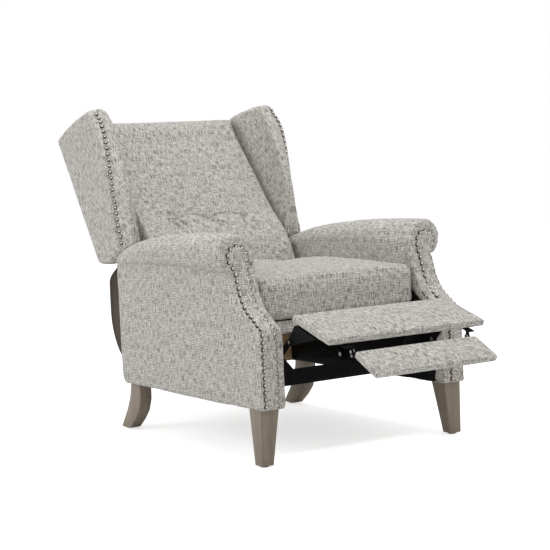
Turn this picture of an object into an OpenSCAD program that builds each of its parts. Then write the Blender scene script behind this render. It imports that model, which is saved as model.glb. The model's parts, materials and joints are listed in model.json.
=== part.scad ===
// Wingback recliner, shown fully reclined with its footrest out.
// Millimetres. The front faces -Y, +X is the sitter's left, +Z is up, and the floor is z = 0.

/* [Frame] */
// Clear width between the two arms
seat_w = 532; // [500:1:580]
// Thickness of an arm below its roll
arm_t = 73; // [66:1:84]
// Length of an arm from its front face to its rear face
arm_len = 838; // [800:1:880]
// Distance of the arms' front face ahead of the part's centre
arm_front = 468; // [460:1:476]
// Height of the arms' underside, which is also the height of the legs
base_z = 156; // [130:1:180]
// Height of the top of the arm rolls
arm_h = 621; // [605:1:640]
// Height of the arm's top at its rear end
arm_rear_h = 558; // [545:1:566]
// How far the arm's front sweeps back between the knee and the roll
sweep = 135; // [110:1:150]
// Radius of the arm roll at the front
roll_r = 53; // [48:1:58]
// Thickness of the padding over the arm frame
arm_pad = 12; // [8:1:14]
// Width of the timber of the arm frame
timber_w = 60; // [50:1:70]

/* [Nail trim] */
// Radius of a nail head
nail_r = 4.75; // [4:0.25:5]
// Height of a nail head
nail_h = 2.6; // [2:0.1:3.5]
// Distance from nail to nail
nail_pitch = 19; // [17:0.5:26]
// Distance of a nail row from the arm's edge
nail_edge = 10; // [9:0.5:12]
// Thickness of the facing panel between the nail rows
facing_t = 6; // [4:0.5:7]

/* [Legs] */
// Width of a front leg at its top
leg_top = 58; // [50:1:60]
// Width of a front leg at its foot
leg_foot = 36; // [30:1:42]
// Width of a rear leg
rear_leg_w = 38; // [32:1:44]
// Depth of a rear leg at its top, front to back
rear_leg_d = 61; // [54:1:66]
// How far a rear leg's foot stands behind its top
rear_leg_rake = 84; // [60:1:95]
// Distance of the rear leg's top from the arm's rear face
rear_leg_in = 17; // [12:1:24]
// Radius of the glide under each foot
glide_r = 11; // [9:1:13]
// Thickness of a glide
glide_t = 4; // [3:0.5:6]

/* [Seat] */
// Height of the seat cushion's underside
seat_z = 373; // [370:1:378]
// Thickness of the seat cushion at its edge
cushion_t = 127; // [110:1:132]
// Rise of the cushion's crown
cushion_crown = 18; // [8:1:24]
// Distance of the cushion's front ahead of the part's centre
seat_front = 365; // [355:1:368]
// Depth of the cushion, front to rear
seat_d = 597; // [570:1:599]
// Gap between the cushion and an arm
side_gap = 4; // [3:0.5:6]
// Height of the seat frame's rails
rail_h = 34; // [30:1:37]
// Thickness of the seat frame's rails
rail_t = 24; // [20:1:28]
// Radius of the spring wire
wire_r = 1.9; // [1.5:0.1:2.4]

/* [Back] */
// Lean of the back's rear face from upright, in degrees
back_lean = 34; // [33:0.5:35]
// Distance of the foot of the back's rear face behind the arms
back_out = 158; // [150:1:162]
// Height of the rear foot of the back
back_z = 547; // [544:1:556]
// Height of the back's rear face above its foot, along the lean
back_h = 430; // [400:1:440]
// How far the back cushion reaches below the foot, along the lean
back_drop = 252; // [240:1:253]
// Depth of the back cushion in front of the frame at the top
back_cushion_t = 128; // [100:1:132]
// Depth of the back's timber frame
back_frame_t = 40; // [34:1:44]
// Depth of the wings' front edge, from the back's rear face
wing_d = 300; // [280:1:305]
// Thickness of a wing at its front edge
wing_t = 44; // [38:1:50]
// Depth of the hollows that the sewn tufts pull in
tuft_d = 13; // [6:1:16]

/* [Footrest] */
// Width of the main pad
pad_w = 510; // [470:1:511]
// Length of the main pad, rear to front
pad_l = 180; // [174:1:182]
// Thickness of the pads
pad_t = 24; // [21:1:25]
// Tilt of the main pad, in degrees
pad_tilt = 17.3; // [16.5:0.1:18]
// Distance of the main pad's rear edge ahead of the part's centre
pad_y = 503; // [502:1:506]
// Height of the main pad's rear edge
pad_z = 407; // [405:1:410]
// Width of the flipper pad
flip_w = 393; // [370:1:394]
// Length of the flipper pad
flip_l = 104; // [98:1:106]
// Extra tilt of the flipper, in degrees
flip_tilt = 10.4; // [9.5:0.1:11]
// Distance of the flipper's hinge in front of the main pad's rear edge
hinge_s = 192; // [191:0.1:193]
// Depth of the flipper's hinge below the main pad's top
hinge_d = 38; // [37.5:0.5:38.5]
// Thickness of the plywood boards in the pads
board_t = 10; // [8:1:12]

/* [Mechanism] */
// Thickness of the side plates
plate_t = 3; // [2.5:0.1:3.2]
// Thickness of the links
link_t = 3; // [2.5:0.1:3.2]
// Width of the links
link_w = 18; // [16:1:20]
// Radius of the hinge pins
pin_r = 4; // [3.5:0.1:4.5]
// Radial clearance of a pin in its bore
pin_gap = 0.06; // [0.04:0.01:0.09]
// Distance of the main link's pivot ahead of the part's centre
link_y = 428; // [426:1:430]
// Height of the main link's pivot
link_z = 280; // [278:1:282]
// Distance of the footrest pivot ahead of the part's centre
rest_y = 490; // [488:1:492]
// Height of the footrest pivot
rest_z = 332; // [330:1:334]
// Distance of the recline pivot ahead of the arms' rear ends
pivot_in = 325; // [322:1:328]
// Height of the back pivot
pivot_z = 200; // [197:1:203]
// Height of the seat rollers
roller_z = 349; // [346:1:350]
// Radius of a seat roller
roller_r = 8; // [7:0.5:9]
// Travel of the seat
slide_travel = 75; // [70:1:78]
// Height of the black front cross rail
cross_h = 40; // [34:1:44]

/* [Hidden] */
$fn = 48;

// Colours
tweed = [0.77, 0.75, 0.71];
timber = [0.72, 0.56, 0.38];
leg_wood = [0.5, 0.44, 0.38];
black_steel = [0.09, 0.09, 0.1];
bright_steel = [0.6, 0.6, 0.62];
pewter = [0.45, 0.42, 0.37];
lining = [0.42, 0.36, 0.3];

// Shared clearances and overruns
seat_fit = 0.3;
over = 1;
soft_fn = 32;
half = 0.5;

// Sides of the chair, from the middle outwards
arm_in = seat_w / 2;
arm_out = arm_in + arm_t;
arm_mid = arm_in + arm_t / 2;
front_y = -arm_front;
rear_y = front_y + arm_len;
back_y = rear_y + back_out;
pivot_y = rear_y - pivot_in;
side_h = arm_h - base_z;

// Layers of the mechanism, from the arm inwards
layer_gap = 1;
plate_in = arm_in - layer_gap / 2 - plate_t;
link_out = plate_in - layer_gap;
link_in = link_out - link_t;
bracket_out = link_in - layer_gap;
bracket_in = bracket_out - link_t;
rail_out = bracket_in - layer_gap * 2;

// A row of points along a path, spaced by about one pitch
function seg_len(p, i) = norm(p[i + 1] - p[i]);
function path_len(p, n) = n <= 0 ? 0 : seg_len(p, n - 1) + path_len(p, n - 1);
function along(p, d, i = 0) =
    i >= len(p) - 2 || d <= seg_len(p, i)
        ? p[i] + (p[i + 1] - p[i]) * min(1, d / seg_len(p, i))
        : along(p, d - seg_len(p, i), i + 1);
function spaced(p, pitch) =
    let (whole = path_len(p, len(p) - 1), count = round(whole / pitch))
    [for (k = [0:count]) along(p, whole * k / count)];

// The direction of a path at one of its points
function line_dir(p, i) =
    let (a = p[max(0, i - 1)], b = p[min(len(p) - 1, i + 1)]) (b - a) / norm(b - a);

// A value read between the entries of an even table
function between(t, u) =
    let (n = len(t) - 1, x = min(n - 0.0001, max(0, u * n)), i = floor(x))
    t[i] + (t[i + 1] - t[i]) * (x - i);
function ease(u) = u * u * (3 - 2 * u);
function shoulder(s, e) = sqrt(max(0, 1 - pow(abs(s), e)));

// A closed soft form between an upper and a lower surface, each a function of u and v
module soft_form(nu, nv, upper, lower) {
    n = (nu + 1) * (nv + 1);
    function at(i, j) = j * (nu + 1) + i;
    function wall(a, b) = [[a, b, b + n], [a, b + n, a + n]];
    points = concat(
        [for (j = [0:nv]) for (i = [0:nu]) upper(i / nu, j / nv)],
        [for (j = [0:nv]) for (i = [0:nu]) lower(i / nu, j / nv)]);
    cells = [for (j = [0:nv - 1]) for (i = [0:nu - 1])
        [at(i, j), at(i + 1, j), at(i + 1, j + 1), at(i, j + 1)]];
    top = [for (c = cells) each [[c[0], c[3], c[2]], [c[0], c[2], c[1]]]];
    under = [for (c = cells) each [[c[0] + n, c[1] + n, c[2] + n], [c[0] + n, c[2] + n, c[3] + n]]];
    sides = concat(
        [for (i = [0:nu - 1]) each wall(at(i, 0), at(i + 1, 0))],
        [for (j = [0:nv - 1]) each wall(at(nu, j), at(nu, j + 1))],
        [for (i = [0:nu - 1]) each wall(at(i + 1, nv), at(i, nv))],
        [for (j = [0:nv - 1]) each wall(at(0, j + 1), at(0, j))]);
    polyhedron(points, concat(top, under, sides));
}

module both() {
    children();
    mirror([1, 0, 0]) children();
}

// A side view outline of (y, z) points, extruded across the chair from x0 to x1
module side_plate(x0, x1) {
    translate([x0, 0, 0]) rotate([90, 0, 90]) linear_extrude(x1 - x0) children();
}

// A pin across the chair
module x_pin(r, x0, x1, y, z) {
    translate([x0, y, z]) rotate([0, 90, 0]) cylinder(r = r, h = x1 - x0);
}

// A flat bar between two round eyes, in the side view
module bar_2d(a, b, w) {
    hull() {
        translate(a) circle(r = w / 2, $fn = soft_fn);
        translate(b) circle(r = w / 2, $fn = soft_fn);
    }
}

// Arms

// The front of the arm from its foot to the roll, in shares of the sweep and the side height
front_shares = [[0, 0], [0, 0.432], [0.11, 0.469], [0.28, 0.512], [0.57, 0.574],
    [0.76, 0.66], [0.86, 0.735], [0.96, 0.82], [1, 0.888]];
front_line = [for (p = front_shares) [front_y + p[0] * sweep, base_z + p[1] * side_h]];
roll_y = front_line[len(front_line) - 2][0];
roll_z = arm_h - roll_r;
roll_x = arm_in + roll_r * 1.06;
roll_mid_share = 0.68;
roll_mid_y = front_y + arm_len * roll_mid_share;
mid_drop = roll_r * 0.17;
rear_r = arm_t / 2;
heel_r = arm_t * 0.28;

module arm_side_2d(inset = 0) {
    offset(delta = -inset) union() {
        polygon(concat(front_line, [
            [roll_mid_y, roll_z - mid_drop],
            [rear_y, arm_rear_h - rear_r],
            [rear_y, base_z + heel_r],
            [rear_y - heel_r, base_z]]));
        translate([rear_y - heel_r, base_z + heel_r]) circle(r = heel_r);
    }
}

module arm_roll() {
    hull() {
        translate([roll_x, roll_y, roll_z]) rotate([-90, 0, 0])
            cylinder(r = roll_r, h = over, $fn = soft_fn);
        translate([roll_x, roll_mid_y, roll_z - mid_drop]) rotate([-90, 0, 0])
            cylinder(r = roll_r * 0.96, h = over, $fn = soft_fn);
        translate([arm_mid, rear_y - over, arm_rear_h - rear_r]) rotate([-90, 0, 0])
            cylinder(r = rear_r, h = over, $fn = soft_fn);
    }
}

// The hollow of the cover, which the timber frame fills
pocket_in = arm_in + arm_pad;
pocket_out = arm_out - arm_pad;
pocket_front = front_y + arm_pad;
pocket_rear = rear_y - arm_pad;
pocket_top = base_z + side_h * 0.72;

module arm_pocket_2d() {
    polygon([
        [pocket_front, base_z - over],
        [pocket_front, base_z + side_h * 0.4],
        [front_y + sweep, pocket_top],
        [rear_y - timber_w * 1.4, pocket_top],
        [pocket_rear, pocket_top - arm_pad],
        [pocket_rear, base_z + heel_r],
        [pocket_rear - heel_r, base_z - over]]);
}

module arm_cover() {
    color(tweed) difference() {
        union() {
            side_plate(arm_in, arm_out) arm_side_2d();
            arm_roll();
        }
        side_plate(pocket_in, pocket_out) arm_pocket_2d();
        for (p = plate_bolts)
            x_pin(plate_bolt_r + bolt_gap, arm_in - over, pocket_in + over, p[0], p[1]);
    }
}

module arm_frame() {
    color(timber) difference() {
        side_plate(pocket_in + seat_fit, pocket_out - seat_fit) difference() {
            intersection() {
                offset(delta = -seat_fit) arm_pocket_2d();
                translate([front_y, base_z]) square([arm_len, side_h]);
            }
            translate([pocket_front + timber_w, base_z + timber_w])
                square([arm_len - timber_w * 2 - arm_pad * 2, side_h * 0.2]);
        }
        for (p = plate_bolts)
            x_pin(plate_bolt_r + bolt_gap, pocket_in, pocket_in + plate_bolt_in + over, p[0], p[1]);
        translate([bolt_x, bolt_front_y, base_z - over]) cylinder(r = bolt_hole_r, h = bolt_in + over);
        translate([bolt_rear_x, bolt_rear_y, base_z - over]) cylinder(r = bolt_hole_r, h = bolt_in + over);
    }
}

// Facing panel and nail rows
face_in = arm_in + nail_edge;
face_out = arm_out - nail_edge;
arch_r = roll_r * 0.56;
arch_z = roll_z - roll_r * 0.12;
face_gap = 0.2;
function pushed(p, d) =
    [for (i = [0:len(p) - 1]) p[i] + d * [-line_dir(p, i)[1], line_dir(p, i)[0]]];
face_line = [for (i = [0:len(front_line) - 2]) front_line[i]];
face_top = face_line[len(face_line) - 1][1];
neck_z = base_z + side_h * 0.76;

// A nail row up one side of the arm's front, from its foot to the arch. The row flares above the neck.
row_line = pushed(face_line, seat_fit);
row_low = nail_edge * 1.4;
function row_points(x_low, x_high) = [for (i = [0:len(row_line) - 1])
    let (p = row_line[i], k = ease(min(1, max(0, (p[1] - neck_z) / (arch_z - neck_z)))))
    [x_low + (x_high - x_low) * k, p[0], i == 0 ? p[1] + row_low : p[1]]];
inner_row = row_points(face_in, roll_x - arch_r);
outer_row = row_points(face_out, roll_x + arch_r);
arch_points = [for (a = [0:15:180])
    [roll_x - arch_r * cos(a), roll_y - seat_fit, arch_z + arch_r * sin(a)]];
nail_path = concat(inner_row, arch_points, [for (i = [len(outer_row) - 1:-1:0]) outer_row[i]]);

// The facing reaches just past the nails that pin it down
module arm_facing() {
    outer = pushed(face_line, facing_t);
    inner = pushed(face_line, face_gap);
    outline = concat([[face_in, base_z - nail_edge]], [for (p = nail_path) [p[0], p[2]]],
        [[face_out, base_z - nail_edge]]);
    color(tweed) intersection() {
        union() {
            side_plate(arm_in, arm_out + roll_r)
                polygon(concat(inner, [for (i = [len(outer) - 1:-1:0]) outer[i]]));
            translate([arm_in, roll_y - facing_t, face_top])
                cube([arm_t + roll_r, facing_t - face_gap, roll_r * 2]);
        }
        translate([0, roll_y + over, 0]) rotate([90, 0, 0])
            linear_extrude(sweep + facing_t + over * 2) offset(delta = nail_r * 0.8) polygon(outline);
        translate([0, front_y - sweep, base_z]) cube([arm_out + roll_r, sweep * 3, side_h]);
    }
}

function nail_tilt(p) =
    let (below = [for (i = [0:len(face_line) - 2]) if (face_line[i][1] <= p[2]) i],
        i = len(below) > 0 ? below[len(below) - 1] : 0,
        d = face_line[i + 1] - face_line[i])
    p[2] > face_line[len(face_line) - 1][1] ? 0 : atan2(d[0], d[1]);

module nail() {
    cylinder(r = nail_r, h = nail_h * half, $fn = 8);
    translate([0, 0, nail_h * half]) cylinder(r = nail_r * 0.7, h = nail_h * half, $fn = 8);
}

module arm_nails() {
    color(pewter) difference() {
        for (p = spaced(nail_path, nail_pitch))
            translate(p) rotate([90 - nail_tilt(p), 0, 0]) translate([0, 0, facing_t]) nail();
        arm_facing();
    }
}

// Rails across the base
cross_y = front_y + sweep * 0.73;
cross_d = 34;
cross_up = 40;
cross_z = base_z + cross_up;

gusset_shares = [[0, 0], [0, 1], [0.52, 0.8], [1, 0.12], [1, 0]];
gusset_w = 87;
gusset_h = 69;

module front_cross_rail() {
    color(black_steel) translate([-plate_in, cross_y, cross_z]) {
        difference() {
            cube([plate_in * 2, cross_d, cross_h]);
            translate([-over, plate_t, plate_t])
                cube([plate_in * 2 + over * 2, cross_d - plate_t * 2, cross_h - plate_t * 2]);
        }
        // A gusset at each end, which stiffens the side plates
        for (end = [0, 1]) translate([end * plate_in * 2, plate_t, cross_h - plate_t]) mirror([end, 0, 0])
            rotate([90, 0, 0]) linear_extrude(plate_t)
                polygon([for (p = gusset_shares) [p[0] * gusset_w, p[1] * (gusset_h + plate_t)]]);
    }
}

rear_rail_t = 26;
rear_rail_h = timber_w * 1.5;
cover_t = 5;
rear_rail_y = rear_y - rear_rail_t - cover_t - seat_fit;

module rear_rail() {
    color(timber) translate([-arm_in, rear_rail_y, base_z])
        cube([arm_in * 2, rear_rail_t, rear_rail_h]);
}

module rear_rail_cover() {
    color(tweed) translate([-arm_in, rear_y - cover_t, base_z])
        cube([arm_in * 2, cover_t, rear_rail_h]);
}

// Legs
front_leg_in = 3;
leg_x = arm_out - front_leg_in;
leg_y = front_y + arm_t * 0.24;
foot_y = leg_y + arm_t * 0.08;

module front_leg() {
    color(leg_wood) difference() {
        hull() {
            translate([leg_x - leg_top, leg_y, base_z - over]) cube([leg_top, leg_top, over]);
            translate([leg_x - leg_foot, foot_y, glide_t]) cube([leg_foot, leg_foot, over]);
        }
        translate([bolt_x, bolt_front_y, base_z - bolt_in]) cylinder(r = bolt_hole_r, h = bolt_in + over);
    }
}

rear_leg_side = 16;
rear_leg_x = arm_out - rear_leg_side;
rear_leg_y = rear_y - rear_leg_in;
rear_foot_d = rear_leg_d * 0.74;
// Rear edge and front edge of the sabre leg: shares of the height down, and of the rake back
sabre_shares = [[0, 0], [0.12, 0.03], [0.35, 0.16], [0.6, 0.42], [0.8, 0.71], [1, 1]];
shin_shares = [[0, 0], [0.12, -0.02], [0.35, 0], [0.6, 0.18], [0.8, 0.49], [1, 0.91]];
function sabre(shares, y, back) = [for (p = shares)
    [y + back * p[1], base_z - p[0] * (base_z - glide_t)]];

module rear_leg() {
    front_edge = sabre(shin_shares, rear_leg_y - rear_leg_d, rear_leg_rake + rear_leg_d - rear_foot_d);
    back_edge = sabre(sabre_shares, rear_leg_y, rear_leg_rake);
    color(leg_wood) difference() {
        side_plate(rear_leg_x - rear_leg_w, rear_leg_x)
            polygon(concat(front_edge, [for (i = [len(back_edge) - 1:-1:0]) back_edge[i]]));
        translate([bolt_rear_x, bolt_rear_y, base_z - bolt_in])
            cylinder(r = bolt_hole_r, h = bolt_in + over);
    }
}

// One hanger bolt a leg, which runs up into the arm frame
bolt_r = 4;
bolt_gap = 0.3;
bolt_hole_r = bolt_r + bolt_gap;
bolt_in = 40;
bolt_x = arm_mid;
bolt_front_y = leg_y + leg_top * 0.6;
bolt_rear_x = rear_leg_x - rear_leg_w / 2;
bolt_rear_y = rear_leg_y - rear_leg_d / 2;

module leg_bolts() {
    color(bright_steel) both() {
        translate([bolt_x, bolt_front_y, base_z - bolt_in + bolt_gap])
            cylinder(r = bolt_r, h = (bolt_in - bolt_gap) * 2);
        translate([bolt_rear_x, bolt_rear_y, base_z - bolt_in + bolt_gap])
            cylinder(r = bolt_r, h = (bolt_in - bolt_gap) * 2);
    }
}

glide_front_x = leg_x - leg_foot / 2;
glide_front_y = foot_y + leg_foot / 2;
glide_rear_y = rear_leg_y + rear_leg_rake - rear_foot_d / 2;

module foot_glides() {
    color(black_steel) both() {
        translate([glide_front_x, glide_front_y, 0]) cylinder(r = glide_r, h = glide_t);
        translate([bolt_rear_x, glide_rear_y, 0]) cylinder(r = glide_r, h = glide_t);
    }
}

// Side plates of the mechanism, bolted to the arms
plate_top = roller_z + roller_r * 2;
plate_low = base_z + plate_t;
plate_front = -link_y - link_w;
plate_step = pivot_y + link_w * 4;
plate_rear = rear_rail_y - layer_gap;
tail_top = pivot_z + link_w * 2;
slot_gap = 0.3;
roller_back = 115;
roller_pitch = 200;
roller_front_y = -seat_front + roller_back;
roller_rear_y = roller_front_y + roller_pitch;

module slot_2d(y) {
    hull() {
        translate([y, roller_z]) circle(r = roller_r + slot_gap);
        translate([y - slide_travel, roller_z]) circle(r = roller_r + slot_gap);
    }
}

plate_bolts = [
    [plate_front + link_w * 1.6, plate_low + link_w * 2.8],
    [pivot_y - timber_w, plate_low + link_w * 2.2],
    [roller_rear_y + timber_w * 0.7, roller_z - roller_r * 2.6],
    [roller_front_y - slide_travel / 2, roller_z - roller_r * 3.4]];
plate_bolt_r = 3.2;
plate_bolt_in = 20;

module side_plate_part() {
    color(black_steel) side_plate(plate_in, plate_in + plate_t) difference() {
        polygon([
            [plate_front, link_z - link_w * 2.6],
            [plate_front, link_z + link_w],
            [plate_front + link_w * 3, plate_top],
            [plate_step, plate_top],
            [plate_step, tail_top],
            [plate_rear, tail_top],
            [plate_rear, plate_low],
            [plate_front + link_w, plate_low]]);
        slot_2d(roller_front_y);
        slot_2d(roller_rear_y);
        for (p = plate_bolts) translate(p) circle(r = plate_bolt_r + bolt_gap, $fn = 24);
        // The pivot holes, which the riveted pins fill
        translate([-link_y, link_z]) circle(r = pin_r + seat_fit);
        translate([pivot_y, pivot_z]) circle(r = pin_r + seat_fit);
    }
}

module side_plate_bolts() {
    color(bright_steel) both() for (p = plate_bolts) {
        x_pin(plate_bolt_r, plate_in - layer_gap, pocket_in + plate_bolt_in, p[0], p[1]);
        x_pin(plate_bolt_r * 1.6, plate_in - layer_gap * 1.8, plate_in - bolt_gap, p[0], p[1]);
    }
}

// Riveted pins that carry the main links and the back carriers
head_r = pin_r * 1.6;
head_t = layer_gap * 0.6;

module pivot_pin(x_tip, x_root, y, z) {
    x_pin(pin_r, x_tip, x_root, y, z);
    x_pin(head_r, x_tip - head_t, x_tip, y, z);
}

module base_pivot_pins() {
    color(bright_steel) both() {
        pivot_pin(link_in - pin_gap * 3, plate_in + plate_t, -link_y, link_z);
        pivot_pin(link_in - pin_gap * 3, plate_in + plate_t, pivot_y, pivot_z);
    }
}

// Seat
frame_back = 18;
frame_short = 50;
frame_y = -seat_front + frame_back;
frame_d = seat_d - frame_short;
band_t = 4;
rail_z = seat_z - rail_h - seat_fit;
half_cushion = arm_in - side_gap;

module seat_frame() {
    color(timber) difference() {
        translate([-rail_out, frame_y + band_t + seat_fit, rail_z])
            cube([rail_out * 2, frame_d - band_t - seat_fit, rail_h]);
        translate([-rail_out + rail_t, frame_y + band_t + rail_t, rail_z - over])
            cube([(rail_out - rail_t) * 2, frame_d - rail_t * 2 - band_t, rail_h + over * 2]);
        for (y = [roller_front_y, roller_rear_y]) both()
            x_pin(axle_r + seat_fit, rail_out - axle_in - over, rail_out + over, y, roller_z);
    }
}

module seat_front_cover() {
    color(tweed) translate([-rail_out, frame_y, rail_z])
        cube([rail_out * 2, band_t, rail_h]);
}

// Zigzag springs from the front rail to the rear rail, with an odd number of waves
spring_count = 4;
spring_waves = 9;
spring_amp = 20;
spring_step = rail_out * 2 / (spring_count + 1);
spring_run = frame_d - rail_t * 2 - band_t - wire_r * 2.6;

wire_sides = 6;

// A wire along flat points, with a ring of even sides at each
module flat_wire(path, r) {
    last = len(path) - 1;
    function at(i, k) = i * wire_sides + k % wire_sides;
    points = [for (i = [0:last]) for (k = [0:wire_sides - 1])
        let (d = line_dir(path, i), a = 360 * k / wire_sides)
        [path[i][0] - d[1] * r * cos(a), path[i][1] + d[0] * r * cos(a), r * sin(a)]];
    walls = [for (i = [0:last - 1]) for (k = [0:wire_sides - 1])
        each [[at(i, k), at(i, k + 1), at(i + 1, k + 1)], [at(i, k), at(i + 1, k + 1), at(i + 1, k)]]];
    ends = [[for (k = [wire_sides - 1:-1:0]) at(0, k)], [for (k = [0:wire_sides - 1]) at(last, k)]];
    polyhedron(points, concat(walls, ends));
}

module zigzag(run, waves, amp, r) {
    step = run / waves;
    flat_wire(concat([[0, 0]],
        [for (k = [0:waves - 1]) for (a = [-90:45:90])
            let (side = k % 2 == 0 ? 1 : -1)
            [side * (amp + step / 2 * cos(a)), step * (k + half + half * sin(a))]],
        [[0, run]]), r);
}

module seat_springs() {
    color(bright_steel) for (k = [1:spring_count])
        translate([-rail_out + spring_step * k, frame_y + band_t + rail_t + wire_r * 1.3,
            seat_z - wire_r * 3])
            zigzag(spring_run, spring_waves, spring_amp, wire_r);
}

// Rounded cushion: u runs across, v from front to rear
cushion_round = 16;
cushion_seam = 3;
cushion_box = cushion_t * 0.27;
draw_in_share = 0.008;
function spread(u) = sin(180 * u - 90);

module seat_cushion() {
    mid_y = -seat_front + seat_d / 2;
    mid_z = seat_z + cushion_t / 2;
    rise = cushion_t / 2 - cushion_box;
    function place(u, v, up) =
        let (s = spread(u), t = spread(v), body = shoulder(s, cushion_round) * shoulder(t, cushion_round))
        [half_cushion * s * (1 - draw_in_share * (1 - t * t)),
            mid_y + seat_d / 2 * t * (1 - draw_in_share * (1 - s * s)),
            mid_z + up * (cushion_box + rise * body)
                + (up > 0 ? cushion_crown * (1 - s * s) * (1 - t * t) : 0)];
    color(tweed) soft_form(20, 20,
        function (u, v) place(u, v, 1),
        function (u, v) place(u, v, -1));
}

axle_r = 4;
axle_in = rail_t * 0.6;

module seat_rollers() {
    color(bright_steel) both() for (y = [roller_front_y, roller_rear_y]) {
        x_pin(roller_r, plate_in, plate_in + plate_t, y, roller_z);
        x_pin(axle_r, rail_out - axle_in, plate_in, y, roller_z);
    }
}

// Back. Its own frame has x across, f forward from the rear face and h up along the lean.
module in_back() {
    translate([0, back_y, back_z]) rotate([-back_lean, 0, 0]) mirror([0, 1, 0]) children();
}

shell_t = 12;
post_w = 40;
post_out = link_in - seat_fit;
frame_f = shell_t + seat_fit;
frame_front = frame_f + back_frame_t;
frame_up = 22;
frame_low = -back_drop + frame_up;
frame_top = back_h - shell_t - seat_fit;
bottom_rail_h = 56;
mid_rail_at = back_h * 0.33;

module back_frame() {
    color(timber) in_back() difference() {
        translate([-post_out, frame_f, frame_low]) cube([post_out * 2, back_frame_t, frame_top - frame_low]);
        translate([-post_out + post_w, frame_f - over, frame_low + bottom_rail_h])
            cube([(post_out - post_w) * 2, back_frame_t + over * 2, mid_rail_at - frame_low - bottom_rail_h]);
        translate([-post_out + post_w, frame_f - over, mid_rail_at + post_w])
            cube([(post_out - post_w) * 2, back_frame_t + over * 2, frame_top - mid_rail_at - post_w * 2]);
        for (b = carrier_marks) both()
            x_pin(carrier_bolt_r + bolt_gap, post_out - carrier_bolt_in - over, post_out + over, b[0], b[1]);
    }
}

back_spring_rows = 3;
back_spring_run = (post_out - post_w) * 2;
back_spring_reach = spring_amp + back_spring_run / spring_waves / 2 + wire_r * 2;

module back_springs() {
    rows_from = frame_low + bottom_rail_h + back_spring_reach;
    rows_step = (mid_rail_at - rows_from - back_spring_reach) / (back_spring_rows - 1);
    color(bright_steel) in_back() for (k = [0:back_spring_rows - 1])
        translate([-back_spring_run / 2 + wire_r * 1.3, frame_f + back_frame_t / 2,
            rows_from + rows_step * k]) rotate([90, 0, 0]) rotate([0, 0, -90])
                zigzag(back_spring_run - wire_r * 2.6, spring_waves, spring_amp, wire_r);
}

// Rear cover of the back, which turns over its top edge
back_side = arm_in - side_gap;
shell_low = -back_drop * 0.14;

module outside_back() {
    color(tweed) in_back() union() {
        translate([-back_side, 0, shell_low]) cube([back_side * 2, shell_t, back_h - shell_low]);
        translate([-back_side, 0, back_h - shell_t]) cube([back_side * 2, frame_front, shell_t]);
    }
}

// Back cushion: u across, v up. Its front follows a lumbar curve in shares of its depth.
cushion_f = frame_front + seat_fit;
lumbar_shares = [1.03, 1.13, 1.2, 1.13, 1, 0.935, 0.915, 0.915, 0.915, 0.92, 0.92];
back_taper = 12;
back_w = half_cushion - back_taper;
cushion_top = back_h * 0.945;
back_cushion_h = back_drop + cushion_top;
crown_f = 22;
back_side_power = 20;
back_top_power = 22;
top_slope = back_h - cushion_top - shell_t - seat_fit;
tuft_x_shares = [-0.536, -0.02, 0.552];
tuft_h_share = 0.378;
tuft_w = 26;
pleat_l = 60;
function tuft_pull(x, h) =
    let (h0 = -back_drop + back_cushion_h * tuft_h_share)
    max([for (s = tuft_x_shares)
        let (dx = (x - s * back_w) / tuft_w, dh = h - h0,
            dz = (dh > 0 ? dh / tuft_w : dh / pleat_l))
        exp(-(dx * dx + dz * dz))]);

module back_cushion() {
    function place(u, v, front) =
        let (s = spread(u), t = spread(v), h_share = (t + 1) / 2,
            h = -back_drop + back_cushion_h * h_share, x = back_w * s,
            body = shoulder(s, back_side_power) * shoulder(t, back_top_power),
            depth = back_cushion_t * between(lumbar_shares, h_share),
            crown = crown_f * (1 - s * s) * (1 - t * t),
            full = depth + crown - tuft_d * tuft_pull(x, h))
        [x, cushion_f + (front > 0 ? cushion_seam * 2 + (full - cushion_seam * 2) * body : 0),
            h + top_slope * max(0, t) * (front > 0 ? 1 - body : 1)];
    color(tweed) in_back() soft_form(24, 22,
        function (u, v) place(u, v, 0),
        function (u, v) place(u, v, 1));
}

// Wings. u runs from the rear face to the front edge, v up.
wing_in = back_side + seat_fit;
wing_set_in = 5;
wing_out = arm_out - wing_set_in;
wing_front_shares = [0.62, 0.75, 0.87, 0.935, 0.985, 1, 1, 0.93];
wing_low_shares = [-0.093, -0.132, -0.168, -0.195, -0.195, -0.15, -0.153, -0.175];
wing_top_shares = [1.084, 1.065, 1.044, 1.016, 0.986, 0.949, 0.909, 0.837];
edge_round = 9;
seam_gap = 3;

function wing_f(u, v) = u * wing_d * between(wing_front_shares, v);
function wing_h(u, v) =
    let (low = back_h * between(wing_low_shares, u), top = back_h * between(wing_top_shares, u))
    low + v * (top - low);
function rim(u, v) = min(1, 8 * min(v, 1 - v), 25 * (1 - u));
function wing_side(u, v) = wing_out - edge_round * (1 - sin(90 * rim(u, v)));

module wing_form() {
    function inner(u, v) =
        let (f = wing_f(u, v), h = wing_h(u, v),
            seam = back_w + seam_gap,
            nose = ease(min(1, max(0, (f - frame_front - wing_d * 0.075) / (wing_d * 0.1)))),
            flare = ease(min(1, max(0, (f / wing_d - 0.45) * 2.2))),
            flat = wing_in + (seam - wing_in) * nose)
        [flat + (wing_out - wing_t - flat) * flare + edge_round * (1 - sin(90 * rim(u, v))), f, h];
    function outer(u, v) = [wing_side(u, v), wing_f(u, v), wing_h(u, v)];
    // Columns lie closer towards the rounded front edge
    soft_form(14, 16,
        function (u, v) outer(sin(90 * u), v),
        function (u, v) inner(sin(90 * u), v));
}

wing_ply_t = 15;
wing_skin = 4;
wing_ply_in = wing_out - edge_round - wing_ply_t - wing_skin;

module wing_ply_2d(grow) {
    offset(delta = grow) polygon([
        [back_h * 0.06, 0], [wing_d * 0.5, 0], [wing_d * 0.78, back_h * 0.25],
        [wing_d * 0.84, back_h * 0.6], [wing_d * 0.74, back_h * 0.76], [back_h * 0.06, back_h * 0.9]]);
}

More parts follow.
